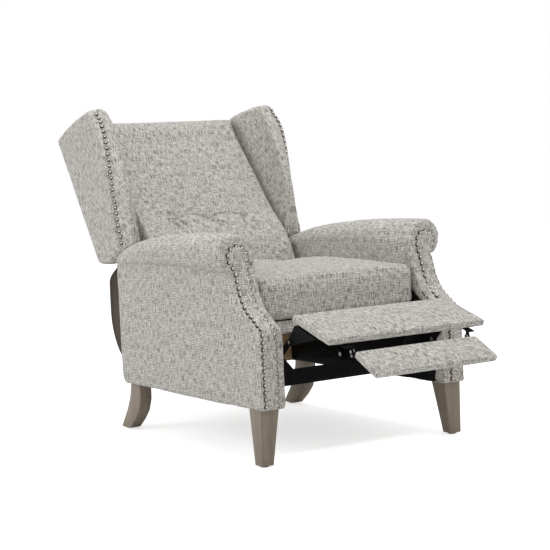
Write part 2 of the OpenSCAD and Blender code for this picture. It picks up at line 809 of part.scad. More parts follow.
module wing_ply(grow) {
    translate([wing_ply_in - grow, 0, 0]) rotate([90, 0, 90])
        linear_extrude(wing_ply_t + grow * 2) wing_ply_2d(grow);
}

module wing() {
    color(tweed) in_back() difference() {
        wing_form();
        wing_ply(seat_fit);
    }
}

module wing_frame() {
    color(timber) in_back() wing_ply(0);
}

// Nails follow the wing's front edge, on its outer side
wing_nail_in = 14;
wing_nail_path = [for (k = [0:20])
    let (v = 0.04 + 0.9 * k / 20, u = 1 - wing_nail_in / wing_f(1, v))
    [wing_side(u, v), wing_f(u, v), wing_h(u, v)]];

module wing_nails() {
    color(pewter) in_back() difference() {
        for (p = spaced(wing_nail_path, nail_pitch))
            translate(p) rotate([0, 90, 0]) nail();
        wing_form();
    }
}

// Steel carriers that hold the back on its pivots
carrier_bolt_r = 4;
carrier_bolt_in = 18;
carrier_bolt_up = 30;
carrier_bolt_pitch = 60;
carrier_marks = [for (k = [0, 1])
    [frame_f + back_frame_t / 2, frame_low + carrier_bolt_up + carrier_bolt_pitch * k]];
function from_back(f, h) = [
    back_y + h * sin(back_lean) - f * cos(back_lean),
    back_z + h * cos(back_lean) + f * sin(back_lean)];
carrier_w = 34;
carrier_bend = [pivot_y + arm_len * 0.29, pivot_z + timber_w * 0.95];

module back_carrier() {
    low = from_back(carrier_marks[0][0], carrier_marks[0][1]);
    high = from_back(carrier_marks[1][0], carrier_marks[1][1]);
    color(black_steel) side_plate(link_in, link_out) difference() {
        union() {
            bar_2d([pivot_y, pivot_z], carrier_bend, carrier_w);
            bar_2d(carrier_bend, low, carrier_w);
            bar_2d(low, high, carrier_w);
        }
        translate([pivot_y, pivot_z]) circle(r = pin_r + pin_gap);
        translate(low) circle(r = carrier_bolt_r + bolt_gap);
        translate(high) circle(r = carrier_bolt_r + bolt_gap);
    }
}

module carrier_bolts() {
    color(bright_steel) in_back() both() for (b = carrier_marks) {
        x_pin(carrier_bolt_r, post_out - carrier_bolt_in, link_out, b[0], b[1]);
        x_pin(carrier_bolt_r * 1.7, link_out, link_out + layer_gap * 0.6, b[0], b[1]);
    }
}

// Lining that hangs from the back's foot to the base's rear, with soft folds down it
flap_w = arm_in + arm_t * 0.45;
flap_t = 3;
flap_flare = 0.2;
flap_shares = [[0, 0], [0.035, 0.14], [0.05, 0.36], [0.03, 0.56], [-0.12, 0.74], [-0.42, 0.89], [-1, 1]];
flap_top = from_back(0, shell_low) - [flap_t * half, over];
flap_reach = flap_top[0] - rear_y - seat_fit;
flap_up = 30;
flap_fall = flap_top[1] - base_z - flap_up;
fold_amp = 4;
fold_count = 5;
flap_line = [for (p = flap_shares) [flap_top[0] + p[0] * flap_reach, flap_top[1] - p[1] * flap_fall]];

module back_flap() {
    function place(u, v, d) =
        let (p = between(flap_line, v),
            q = between(flap_line, min(1, v + 0.02)) - between(flap_line, max(0, v - 0.02)),
            n = [-q[1], q[0]] / norm(q),
            fold = fold_amp * cos(360 * fold_count * u) * sin(180 * v),
            side = back_side + (flap_w - back_side) * ease(min(1, v / flap_flare)))
        [side * (2 * u - 1), p[0] + n[0] * (fold + d), p[1] + n[1] * (fold + d)];
    color(lining) soft_form(30, 10,
        function (u, v) place(u, v, flap_t),
        function (u, v) place(u, v, 0));
}

// Main links, one a side
module main_link() {
    color(black_steel) side_plate(link_in, link_out) difference() {
        bar_2d([-link_y, link_z], [-rest_y, rest_z], link_w);
        translate([-link_y, link_z]) circle(r = pin_r + pin_gap);
        translate([-rest_y, rest_z]) circle(r = pin_r + pin_gap);
    }
}

// Footrest. Its own frame has x across, s forward from the rear edge and d down from the top.
module in_pad() {
    translate([0, -pad_y, pad_z]) rotate([pad_tilt, 0, 0]) mirror([0, 1, 0]) mirror([0, 0, 1]) children();
}

// The place of a point of the side view in the pad's own frame
function in_pad_frame(y, z) =
    let (a = y + pad_y, b = z - pad_z)
    [-a * cos(pad_tilt) - b * sin(pad_tilt), a * sin(pad_tilt) - b * cos(pad_tilt)];

pad_crown = 5;
pad_round = 26;
end_round = 9;
board_in = 14;

module pad_form(w, l, t) {
    function place(u, v, up) =
        let (x = spread(u), y = spread(v), body = shoulder(x, pad_round) * shoulder(y, end_round))
        [w / 2 * x, l * (half + half * y),
            t / 2 - up * (cushion_seam / 2 + (t / 2 - cushion_seam / 2) * body)
                - (up > 0 ? pad_crown * (1 - x * x) * (1 - y * y) : 0)];
    soft_form(20, 10,
        function (u, v) place(u, v, -1),
        function (u, v) place(u, v, 1));
}

module board(w, l, t, grow) {
    translate([-w / 2 + board_in - grow, board_in - grow, t - board_t - grow])
        cube([w - board_in * 2 + grow * 2, l - board_in * 2 + grow * 2, board_t + grow]);
}

module footrest_pad() {
    color(tweed) in_pad() difference() {
        pad_form(pad_w, pad_l, pad_t);
        board(pad_w, pad_l, pad_t, seat_fit);
        translate([0, 0, pad_t - over]) board(pad_w, pad_l, board_t, seat_fit);
    }
}

module footrest_board() {
    color(timber) in_pad() board(pad_w, pad_l, pad_t, 0);
}

// Angle brackets under the main pad: a foot against the board and a web down to the pivot
rest_at = in_pad_frame(-rest_y, rest_z);
foot_w = 22;
web_top = pad_t + seat_fit;
foot_at = board_in * 1.5;
strap_at = foot_at + pad_l * 0.3;
eye_r = pin_r + 3;
flip_side = 4;
ear_out = flip_w / 2 - flip_side;
ear_in = ear_out - link_t;
flip_arm_out = ear_in - layer_gap / 2;
flip_arm_in = flip_arm_out - link_t;

module footrest_bracket() {
    color(black_steel) in_pad() difference() {
        union() {
            translate([bracket_in, 0, 0]) rotate([90, 0, 90]) linear_extrude(link_t) hull() {
                translate(rest_at) circle(r = link_w / 2, $fn = soft_fn);
                translate([foot_at, web_top]) square([pad_l * 0.55, link_t]);
            }
            translate([bracket_out - foot_w, foot_at, web_top])
                cube([foot_w, pad_l * 0.55, link_t]);
            // The strap that reaches in and forward to the flipper's hinge
            translate([ear_in, strap_at, web_top])
                cube([bracket_out - ear_in - link_t, foot_w, link_t]);
            translate([ear_in, strap_at, web_top])
                cube([foot_w, hinge_s - strap_at, link_t]);
            translate([ear_in, 0, 0]) rotate([90, 0, 90]) linear_extrude(link_t) hull() {
                translate([hinge_s, hinge_d]) circle(r = eye_r, $fn = soft_fn);
                translate([hinge_s - foot_w * half, web_top]) square([foot_w * half, link_t]);
            }
        }
        x_pin(pin_r + seat_fit, bracket_in - over, bracket_out + over, rest_at[0], rest_at[1]);
        x_pin(pin_r + seat_fit, ear_in - over, ear_out + over, hinge_s, hinge_d);
    }
}

module footrest_pins() {
    color(bright_steel) in_pad() both() {
        x_pin(pin_r, bracket_in, link_out, rest_at[0], rest_at[1]);
        x_pin(pin_r, flip_arm_in - seat_fit, ear_out, hinge_s, hinge_d);
    }
}

screw_r = 2.5;
screw_head = 5;

module screw(x, y, z) {
    translate([x, y, z]) cylinder(r = screw_head, h = screw_r * 0.8, $fn = 24);
}

module footrest_screws() {
    color(bright_steel) in_pad() both() for (k = [0, 1])
        screw(bracket_out - foot_w * 0.6, foot_at + pad_l * (0.08 + 0.42 * k), web_top + link_t);
}

// Flipper. Its own frame sits on the main pad's, at the flipper's rear edge.
flip_ahead = 24;
flip_above = 13.8;
flip_at = [hinge_s + flip_ahead, hinge_d - flip_above];
module in_flip() {
    in_pad() translate([0, flip_at[0], flip_at[1]]) rotate([flip_tilt, 0, 0]) children();
}

module flipper_pad() {
    color(tweed) in_flip() difference() {
        pad_form(flip_w, flip_l, pad_t);
        board(flip_w, flip_l, pad_t, seat_fit);
        translate([0, 0, pad_t - over]) board(flip_w, flip_l, board_t, seat_fit);
    }
}

module flipper_board() {
    color(timber) in_flip() board(flip_w, flip_l, pad_t, 0);
}

function in_flip_frame(s, d) =
    let (a = s - flip_at[0], b = d - flip_at[1])
    [a * cos(flip_tilt) + b * sin(flip_tilt), -a * sin(flip_tilt) + b * cos(flip_tilt)];
flip_hinge = in_flip_frame(hinge_s, hinge_d);

module flipper_bracket() {
    color(black_steel) in_flip() difference() {
        union() {
            translate([flip_arm_in, 0, 0]) rotate([90, 0, 90]) linear_extrude(link_t) union() {
                hull() {
                    translate(flip_hinge) circle(r = eye_r, $fn = soft_fn);
                    translate([over, web_top]) square(link_t);
                }
                translate([over, web_top]) square([flip_l * 0.5, link_t]);
            }
            translate([flip_arm_out - foot_w, foot_at, web_top])
                cube([foot_w, flip_l * 0.4, link_t]);
        }
        x_pin(pin_r + pin_gap, flip_arm_in - over, flip_arm_out + over, flip_hinge[0], flip_hinge[1]);
    }
}

pin_cap_t = 1.5;

module flipper_pin_caps() {
    color(bright_steel) in_pad() both()
        x_pin(head_r, flip_arm_in - seat_fit - pin_cap_t, flip_arm_in - seat_fit, hinge_s, hinge_d);
}

module flipper_screws() {
    color(bright_steel) in_flip() both() for (k = [0, 1])
        screw(flip_arm_out - foot_w * 0.6, foot_at + flip_l * (0.1 + 0.2 * k), web_top + link_t);
}

module left() {
    mirror([1, 0, 0]) children();
}

left() arm_cover();  // left_arm_cover
arm_cover();  // right_arm_cover
left() arm_frame();  // left_arm_frame
arm_frame();  // right_arm_frame
left() arm_facing();  // left_arm_facing
arm_facing();  // right_arm_facing
left() arm_nails();  // left_arm_nails
arm_nails();  // right_arm_nails
front_cross_rail();
rear_rail();
rear_rail_cover();
left() front_leg();  // front_left_leg
front_leg();  // front_right_leg
left() rear_leg();  // rear_left_leg
rear_leg();  // rear_right_leg
leg_bolts();
foot_glides();
left() side_plate_part();  // left_side_plate
side_plate_part();  // right_side_plate
side_plate_bolts();
base_pivot_pins();
seat_frame();
seat_springs();
seat_cushion();
seat_front_cover();
seat_rollers();
back_frame();
back_springs();
back_cushion();
left() wing();  // left_wing
wing();  // right_wing
left() wing_frame();  // left_wing_frame
wing_frame();  // right_wing_frame
left() wing_nails();  // left_wing_nails
wing_nails();  // right_wing_nails
outside_back();
left() back_carrier();  // left_back_carrier
back_carrier();  // right_back_carrier
carrier_bolts();
back_flap();
left() main_link();  // left_main_link
main_link();  // right_main_link
footrest_board();
footrest_pad();
left() footrest_bracket();  // left_footrest_bracket
footrest_bracket();  // right_footrest_bracket
footrest_pins();
footrest_screws();
flipper_board();
flipper_pad();
left() flipper_bracket();  // left_flipper_bracket
flipper_bracket();  // right_flipper_bracket
flipper_pin_caps();
flipper_screws();
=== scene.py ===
"""Dresses a reclined wing chair in tweed, nail trim, wood and steel, and sets the stage around it."""

import json
import math

import bmesh
import bpy
import numpy as np
from mathutils import Matrix, Vector, noise
from mathutils.bvhtree import BVHTree

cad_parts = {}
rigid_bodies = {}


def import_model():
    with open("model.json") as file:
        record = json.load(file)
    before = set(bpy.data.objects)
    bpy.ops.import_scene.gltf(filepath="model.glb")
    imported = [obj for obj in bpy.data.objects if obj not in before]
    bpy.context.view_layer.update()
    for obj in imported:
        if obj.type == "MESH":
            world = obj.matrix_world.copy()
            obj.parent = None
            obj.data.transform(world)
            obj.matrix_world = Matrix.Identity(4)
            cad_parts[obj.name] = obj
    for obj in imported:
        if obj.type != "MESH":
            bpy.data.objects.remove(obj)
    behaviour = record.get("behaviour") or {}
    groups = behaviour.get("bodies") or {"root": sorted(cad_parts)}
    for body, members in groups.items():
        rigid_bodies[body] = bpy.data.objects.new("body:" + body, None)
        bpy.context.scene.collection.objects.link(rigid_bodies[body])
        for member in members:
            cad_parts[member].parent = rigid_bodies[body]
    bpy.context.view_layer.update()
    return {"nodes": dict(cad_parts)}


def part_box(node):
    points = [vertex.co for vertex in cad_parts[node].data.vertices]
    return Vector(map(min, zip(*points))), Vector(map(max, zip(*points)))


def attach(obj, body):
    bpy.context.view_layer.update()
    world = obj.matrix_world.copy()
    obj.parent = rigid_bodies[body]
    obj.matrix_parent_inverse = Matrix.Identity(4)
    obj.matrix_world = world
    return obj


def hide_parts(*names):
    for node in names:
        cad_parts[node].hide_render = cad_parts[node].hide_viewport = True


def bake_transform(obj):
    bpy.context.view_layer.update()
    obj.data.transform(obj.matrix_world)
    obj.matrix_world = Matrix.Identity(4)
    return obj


bl_info = {
    "name": "Wingback Recliner",
    "version": (1, 0, 0),
    "blender": (4, 5, 0),
    "location": "View3D > Sidebar > Recliner",
    "description": "Builds a reclined wing chair with its upholstery, nail trim, woodwork and stage",
    "category": "Add Mesh",
}

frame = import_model()
SEAT_LOW, SEAT_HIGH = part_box("seat_cushion")
SIDES = {"right": 1.0, "left": -1.0}


# Sizes and colours that a user would change


def length_setting(name, text, metres):
    return bpy.props.FloatProperty(name=name, description=text, default=metres, unit="LENGTH")


def angle_setting(name, text, degrees):
    return bpy.props.FloatProperty(name=name, description=text, default=math.radians(degrees),
                                   subtype="ANGLE")


def colour_setting(name, text, levels):
    return bpy.props.FloatVectorProperty(name=name, description=text, default=levels, subtype="COLOR")


class RECLINER_PG_cloth(bpy.types.PropertyGroup):
    """Yarn colours and weave of the upholstery"""
    light_yarn: colour_setting("Light yarn", "Colour of the cream yarn", (0.78, 0.757, 0.71))
    mid_yarn: colour_setting("Mid yarn", "Colour of the greige yarn", (0.61, 0.583, 0.532))
    dark_yarn: colour_setting("Dark yarn", "Colour of the charcoal yarn", (0.085, 0.078, 0.070))
    yarn_pitch: length_setting("Yarn pitch", "Distance from yarn to yarn", 0.0048)
    slub_length: length_setting("Slub length", "Length of a stretch of one shade along a yarn", 0.010)
    weave_depth: length_setting("Weave depth", "Height of the yarns in the surface", 0.0005)


class RECLINER_PG_back(bpy.types.PropertyGroup):
    """Place and fullness of the back"""
    lean: angle_setting("Lean", "Lean of the back's rear face from upright", 34)
    foot_y: length_setting("Foot, rearward", "Place of the rear face's foot behind the middle", 0.528)
    foot_z: length_setting("Foot height", "Height of the rear face's foot", 0.547)
    depth: length_setting("Cushion depth", "Depth of the cushion in front of its frame", 0.128)
    crown: length_setting("Crown", "Swell in the middle of the back cushion", 0.018)
    tuft_depth: length_setting("Tuft depth", "Depth of the sewn tufts", 0.015)
    wing_depth: length_setting("Wing depth", "Distance of the wing's front edge from the rear face", 0.300)


class RECLINER_PG_pads(bpy.types.PropertyGroup):
    """Place and size of the footrest's two pads"""
    rear_y: length_setting("Rear edge", "Distance of the main pad's rear edge ahead of the middle", 0.503)
    rear_z: length_setting("Rear height", "Height of the main pad's rear edge", 0.407)
    tilt: angle_setting("Tilt", "Tilt of the main pad", 17.3)
    flipper_tilt: angle_setting("Flipper tilt", "Further tilt of the flipper pad", 10.4)
    thickness: length_setting("Thickness", "Thickness of the pads", 0.024)


class RECLINER_PG_trim(bpy.types.PropertyGroup):
    """Nail heads and woodwork"""
    nail_radius: length_setting("Nail radius", "Radius of a nail head", 0.0056)
    nail_height: length_setting("Nail height", "Height of a nail head's dome", 0.0038)
    nail_pitch: length_setting("Nail pitch", "Distance from nail to nail", 0.019)
    nail_colour: colour_setting("Nail colour", "Colour of the aged pewter", (0.40, 0.37, 0.32))
    leg_colour: colour_setting("Leg colour", "Colour of the stained legs", (0.235, 0.185, 0.140))


class RECLINER_PG_stage(bpy.types.PropertyGroup):
    """Camera and light"""
    camera_place: bpy.props.FloatVectorProperty(
        name="Camera place", description="Where the camera stands", subtype="XYZ", unit="LENGTH",
        default=(-2.2533, -3.6944, 0.7826))
    camera_yaw: angle_setting("Camera yaw", "Turn of the view from straight ahead", 31.4646)
    camera_pitch: angle_setting("Camera pitch", "Rise of the view above level", -4.1067)
    camera_roll: angle_setting("Camera roll", "Roll of the camera", -3.082)
    camera_lens: bpy.props.FloatProperty(
        name="Lens", description="Focal length on a 36 mm sensor", subtype="DISTANCE_CAMERA",
        default=94.334)
    key_power: bpy.props.FloatProperty(
        name="Key power", description="Power of the key lamp", subtype="POWER", default=36.0)
    sky_level: bpy.props.FloatProperty(
        name="Sky level", description="Strength of the soft light from all round", default=0.62)


class RECLINER_PG_chair(bpy.types.PropertyGroup):
    """All the chair's settings"""
    cloth: bpy.props.PointerProperty(type=RECLINER_PG_cloth)
    back: bpy.props.PointerProperty(type=RECLINER_PG_back)
    pads: bpy.props.PointerProperty(type=RECLINER_PG_pads)
    trim: bpy.props.PointerProperty(type=RECLINER_PG_trim)
    stage: bpy.props.PointerProperty(type=RECLINER_PG_stage)


def chair():
    return bpy.context.scene.recliner


# Curves and frames of reference


def curve(values, u):
    """Reads a table of evenly spaced values as a smooth curve."""
    table = np.asarray(values, float)
    last = len(table) - 1
    x = np.clip(np.asarray(u, float), 0, 1) * last
    i = np.minimum(x.astype(int), last - 1)
    t = x - i
    before, here = table[np.maximum(i - 1, 0)], table[i]
    there, after = table[i + 1], table[np.minimum(i + 2, last)]
    return 0.5 * (2 * here + (there - before) * t
                  + (2 * before - 5 * here + 4 * there - after) * t ** 2
                  + (3 * here - before - 3 * there + after) * t ** 3)


def through(places, values, x):
    """Reads a smooth curve through points at uneven places."""
    even = np.interp(x, places, np.linspace(0, 1, len(places)))
    return curve(values, even)


def line_at(pairs, x):
    """Reads a smooth curve through (place, value) pairs."""
    places, values = np.array(pairs).T
    return through(places, values, x)


def run_along(points):
    """Distance along a polyline at each of its points."""
    steps = np.linalg.norm(np.diff(points, axis=0), axis=1)
    return np.concatenate([[0], np.cumsum(steps)])


def crowded(count, share):
    """Steps from 0 to 1 that a share draws towards both ends."""
    even = np.linspace(0, 1, count)
    return (1 - share) * even + share * (1 - np.cos(even * math.pi)) / 2


def ease(u):
    """A soft step from 0 to 1."""
    u = np.clip(u, 0, 1)
    return u * u * (3 - 2 * u)


def hill(x, width):
    """A soft bump of height 1 at 0."""
    return np.exp(-(np.asarray(x) / width) ** 2)


def rounding(distance, radius):
    """Share of the full height at a distance from an edge that is rounded by a radius."""
    d = np.clip(np.asarray(distance, float) / radius, 0, 1)
    return np.sqrt(np.maximum(0, 1 - (1 - d) ** 2))


def stack(*parts):
    return np.stack(np.broadcast_arrays(*parts), axis=-1).astype(float)


def from_back(points):
    """Turns points (across, forward from the rear face, up the lean) into the row frame."""
    back = chair().back
    s, c = math.sin(back.lean), math.cos(back.lean)
    x, f, h = np.moveaxis(points, -1, 0)
    return stack(x, back.foot_y + h * s - f * c, back.foot_z + h * c + f * s)


def from_pad(points):
    """Turns points (across, forward from the rear edge, down from the top) into the row frame."""
    pads = chair().pads
    s, c = math.sin(pads.tilt), math.cos(pads.tilt)
    x, f, d = np.moveaxis(points, -1, 0)
    return stack(x, -pads.rear_y - f * c + d * s, pads.rear_z - f * s - d * c)


# The flipper's rear edge in the main pad's frame
FLIPPER_AHEAD, FLIPPER_BELOW = 0.216, 0.0242


def from_flipper(points):
    """As from_pad, for the flipper pad's own frame."""
    turn = chair().pads.flipper_tilt
    s, c = math.sin(turn), math.cos(turn)
    x, f, d = np.moveaxis(points, -1, 0)
    return from_pad(stack(x, FLIPPER_AHEAD + f * c - d * s, FLIPPER_BELOW + f * s + d * c))


def waves(points, scale, seed=0.0):
    """Smooth noise from -1 to 1 at each point, of the given scale in metres."""
    shift = Vector((seed * 7.3, seed * 3.1, seed * 5.7))
    return np.array([noise.noise(Vector(p) / scale + shift) for p in points])


# Meshes


def new_object(name, verts, faces, material, smooth=True):
    mesh = bpy.data.meshes.new(name)
    mesh.from_pydata([tuple(v) for v in verts], [], faces)
    work = bmesh.new()
    work.from_mesh(mesh)
    bmesh.ops.remove_doubles(work, verts=work.verts, dist=0.00002)
    bmesh.ops.dissolve_degenerate(work, edges=work.edges, dist=0.00001)
    bmesh.ops.recalc_face_normals(work, faces=work.faces)
    work.to_mesh(mesh)
    work.free()
    mesh.polygons.foreach_set("use_smooth", [smooth] * len(mesh.polygons))
    mesh.materials.append(material)
    made = bpy.data.objects.new(name, mesh)
    bpy.context.scene.collection.objects.link(made)
    return made


def grid_faces(rows, columns, start=0, flip=False):
    faces = []
    for r in range(rows - 1):
        for c in range(columns - 1):
            a = start + r * columns + c
            face = (a, a + 1, a + columns + 1, a + columns)
            faces.append(face[::-1] if flip else face)
    return faces


def closed_form(upper, lower, walls=1):
    """Vertices and faces of a solid between two grids, with side walls in a number of steps."""
    rows, columns = upper.shape[:2]
    verts = np.concatenate([upper.reshape(-1, 3), lower.reshape(-1, 3)])
    faces = grid_faces(rows, columns) + grid_faces(rows, columns, rows * columns, True)
    edge = ([(0, c) for c in range(columns)] + [(r, columns - 1) for r in range(1, rows)]
            + [(rows - 1, c) for c in range(columns - 2, -1, -1)] + [(r, 0) for r in range(rows - 2, 0, -1)])
    rims = [[r * columns + c for r, c in edge]]
    extra = []
    for k in range(1, walls):
        t = k / walls
        first = len(verts) + len(extra)
        extra += [upper[r, c] * (1 - t) + lower[r, c] * t for r, c in edge]
        rims.append(list(range(first, first + len(edge))))
    rims.append([rows * columns + r * columns + c for r, c in edge])
    if extra:
        verts = np.concatenate([verts, np.array(extra)])
    for high, low in zip(rims, rims[1:]):
        for k in range(len(edge)):
            n = (k + 1) % len(edge)
            faces.append((high[n], high[k], low[k], low[n]))
    return verts, faces


def loft(rings):
    """Vertices and faces of a solid through closed rings, with a fan at each end."""
    count, around = rings.shape[:2]
    verts = np.concatenate([rings.reshape(-1, 3), rings[0].mean(0)[None], rings[-1].mean(0)[None]])
    faces = []
    for r in range(count - 1):
        for k in range(around):
            n = (k + 1) % around
            faces.append((r * around + k, r * around + n, (r + 1) * around + n, (r + 1) * around + k))
    for k in range(around):
        n = (k + 1) % around
        faces.append((n, k, count * around))
        faces.append(((count - 1) * around + k, (count - 1) * around + n, count * around + 1))
    return verts, faces


def joined(*parts):
    """Several (vertices, faces) as one."""
    verts, faces, start = [], [], 0
    for v, f in parts:
        verts.append(v)
        faces += [tuple(i + start for i in face) for face in f]
        start += len(v)
    return np.concatenate(verts), faces


def mirrored(part, side):
    verts, faces = part
    return verts * np.array([side, 1, 1]), faces


def coordinates(obj):
    co = np.zeros(len(obj.data.vertices) * 3)
    obj.data.vertices.foreach_get("co", co)
    return co.reshape(-1, 3)


def normals(obj):
    found = np.zeros(len(obj.data.vertices) * 3)
    obj.data.vertices.foreach_get("normal", found)
    return found.reshape(-1, 3)


def place(obj, points):
    obj.data.vertices.foreach_set("co", np.ascontiguousarray(points, float).ravel())
    obj.data.update()


def settle(obj):
    """Replaces the mesh by what its modifiers make of it."""
    view = bpy.context.evaluated_depsgraph_get()
    made = bpy.data.meshes.new_from_object(obj.evaluated_get(view), depsgraph=view)
    old = obj.data
    obj.modifiers.clear()
    obj.data = made
    made.name = old.name
    bpy.data.meshes.remove(old)
    made.polygons.foreach_set("use_smooth", [True] * len(made.polygons))


def fuse(obj, voxel, passes):
    """Joins overlapping shells into one padded skin with soft edges."""
    remesh = obj.modifiers.new("Fuse", "REMESH")
    remesh.mode = "VOXEL"
    remesh.voxel_size = voxel
    smooth = obj.modifiers.new("Soften", "SMOOTH")
    smooth.factor = 0.5
    smooth.iterations = passes
    settle(obj)


def finer(obj, levels=1):
    subdivide = obj.modifiers.new("Finer", "SUBSURF")
    subdivide.levels = subdivide.render_levels = levels
    settle(obj)


SWELL_PRESSURE = 4.0


def swell(obj, pinned, cap, frames=20):
    """Blows a cushion up as cloth, by no more than a cap, between the points that its seams hold."""
    rest = coordinates(obj)
    held = obj.vertex_groups.new(name="held")
    for level in (0.25, 0.5, 0.75, 1.0):
        chosen = np.nonzero((pinned > level - 0.25) & (pinned <= level))[0]
        held.add([int(i) for i in chosen], level, "REPLACE")
    cloth = obj.modifiers.new("Cloth", "CLOTH")
    rules = cloth.settings
    rules.quality = 5
    rules.mass = 0.3
    rules.tension_stiffness = rules.compression_stiffness = 30
    rules.shear_stiffness = 12
    rules.bending_stiffness = 2
    rules.use_pressure = True
    rules.uniform_pressure_force = SWELL_PRESSURE
    rules.vertex_group_mass = "held"
    rules.effector_weights.gravity = 0
    cloth.point_cache.frame_start = 1
    cloth.point_cache.frame_end = frames
    for number in range(1, frames + 1):
        bpy.context.scene.frame_set(number)
    view = bpy.context.evaluated_depsgraph_get()
    swollen = coordinates(obj.evaluated_get(view))
    obj.modifiers.clear()
    obj.vertex_groups.clear()
    move = swollen - rest
    length = np.linalg.norm(move, axis=1, keepdims=True)
    place(obj, rest + move * np.minimum(1, cap / np.maximum(length, 1e-9)))
    bpy.context.scene.frame_set(1)


def cushion_box(size, radius, cell):
    """A box of (x, y, z) size with rounded edges, in square cells, about the origin."""
    half = np.array(size) / 2
    core = half - radius
    parts = []
    for axis in range(3):
        a, b = [k for k in range(3) if k != axis]
        u = np.linspace(-1, 1, max(2, int(2 * half[a] / cell)) + 1) * half[a]
        v = np.linspace(-1, 1, max(2, int(2 * half[b] / cell)) + 1) * half[b]
        for side in (-1, 1):
            grid = np.zeros((len(v), len(u), 3))
            grid[..., a], grid[..., b] = np.meshgrid(u, v)
            grid[..., axis] = side * half[axis]
            parts.append((grid.reshape(-1, 3), grid_faces(len(v), len(u))))
    verts, faces = joined(*parts)
    near = np.clip(verts, -core, core)
    way = verts - near
    way /= np.maximum(np.linalg.norm(way, axis=1, keepdims=True), 1e-9)
    return near + way * radius, faces


def dress(obj, body, nodes):
    """Joins a finished piece to its body and hides the solids that it stands for."""
    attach(obj, body)
    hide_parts(*nodes)


# Shader graphs


def put(tree, kind, inputs=None, **settings):
    """Adds a node. Inputs are sockets to join or plain values."""
    made = tree.nodes.new(kind)
    for key, value in settings.items():
        setattr(made, key, value)
    for key, value in (inputs or {}).items():
        if isinstance(value, bpy.types.NodeSocket):
            tree.links.new(value, made.inputs[key])
        else:
            made.inputs[key].default_value = value
    return made


def calc(tree, operation, *values, clamp=False):
    return put(tree, "ShaderNodeMath", dict(enumerate(values)), operation=operation,
               use_clamp=clamp).outputs[0]


def times(tree, a, b):
    return calc(tree, "MULTIPLY", a, b)


def plus(tree, a, b):
    return calc(tree, "ADD", a, b)


def minus(tree, a, b):
    return calc(tree, "SUBTRACT", a, b)


def mix(tree, factor, low, high):
    """Mixes two numbers."""
    return put(tree, "ShaderNodeMix", {0: factor, 2: low, 3: high}).outputs[0]


def blend(tree, factor, low, high):
    """Mixes two colours."""
    return put(tree, "ShaderNodeMix", {0: factor, 6: low, 7: high}, data_type="RGBA").outputs[2]


def spread(tree, value, low, high, to_low=0.0, to_high=1.0):
    """Maps a range of values to another, and no further."""
    return put(tree, "ShaderNodeMapRange", {"Value": value, "From Min": low, "From Max": high,
                                           "To Min": to_low, "To Max": to_high}).outputs[0]


def vector(tree, x=0.0, y=0.0, z=0.0):
    return put(tree, "ShaderNodeCombineXYZ", {0: x, 1: y, 2: z}).outputs[0]


def speckle(tree, at, scale, detail=2.0, rough=0.5):
    return put(tree, "ShaderNodeTexNoise", {"Vector": at, "Scale": scale, "Detail": detail,
                                           "Roughness": rough}).outputs[0]


def new_group(name, **inputs):
    """An empty node group for a finish, with the outputs of its input node and the inputs of its output."""
    group = bpy.data.node_groups.new(name, "ShaderNodeTree")
    outputs = {"Color": "Color", "Height": "Float", "Roughness": "Float"}
    for way, sockets in (("INPUT", inputs), ("OUTPUT", outputs)):
        for label, kind in sockets.items():
            group.interface.new_socket(label, in_out=way, socket_type="NodeSocket" + kind)
    given, out = group.nodes.new("NodeGroupInput"), group.nodes.new("NodeGroupOutput")
    return group, given.outputs, out.inputs


# Warp pitch over weft pitch, and the share of crossings that float
WARP_SHARE, FLOAT_SHARE = 0.85, 0.3
# How far yarns wander in metres, and the scales of noise of the warp's and weft's wander and of fuzz
WANDER, WARP_WANDER_SCALE, WEFT_WANDER_SCALE, FUZZ_SCALE = 0.014, 9.0, 7.0, 1400.0
# What slow heather adds to a yarn's shade, and the levels at which yarns begin and end to turn light
HEATHER_SHARE, LIGHT_FROM, LIGHT_TO = 0.25, 0.42, 0.78
# Where in a yarn the gap beside it begins and is full, as shares of the pitch, and how dark the painted
# shade in it gets
GAP_FROM, GAP_TO, GAP_SHADE = 0.18, 0.38, 0.44
# Levels of noise at which flecks and dashes begin and are full, and how dark each kind is
FLECK_FROM, FLECK_TO, FLECK_DARK = 0.38, 0.27, 0.14
DASH_FROM, DASH_TO, WARP_DARK, WEFT_DARK = 0.51, 0.31, 0.68, 0.52
# Scale of the dashes' noise across a yarn and along it
DASH_FINE, DASH_LONG = 480.0, 42.0


def face_plane(tree, lean):
    """Flat coordinates on the plane that a face lies closest to, after turning them by a lean."""
    where = tree.nodes.new("ShaderNodeTexCoord")
    turned = [put(tree, "ShaderNodeVectorRotate", {"Vector": where.outputs[key], "Angle": lean},
                  rotation_type="X_AXIS").outputs[0] for key in ("Object", "Normal")]
    spot, way = [put(tree, "ShaderNodeSeparateXYZ", {0: one}).outputs for one in turned]
    x, y, z = (calc(tree, "ABSOLUTE", w) for w in way)
    sideways = times(tree, calc(tree, "GREATER_THAN", x, y), calc(tree, "GREATER_THAN", x, z))
    flat = times(tree, calc(tree, "GREATER_THAN", z, y), calc(tree, "GREATER_THAN", z, x))
    across = mix(tree, sideways, spot[0], spot[1])
    along = mix(tree, flat, spot[2], spot[1])
    return across, along, turned[0]


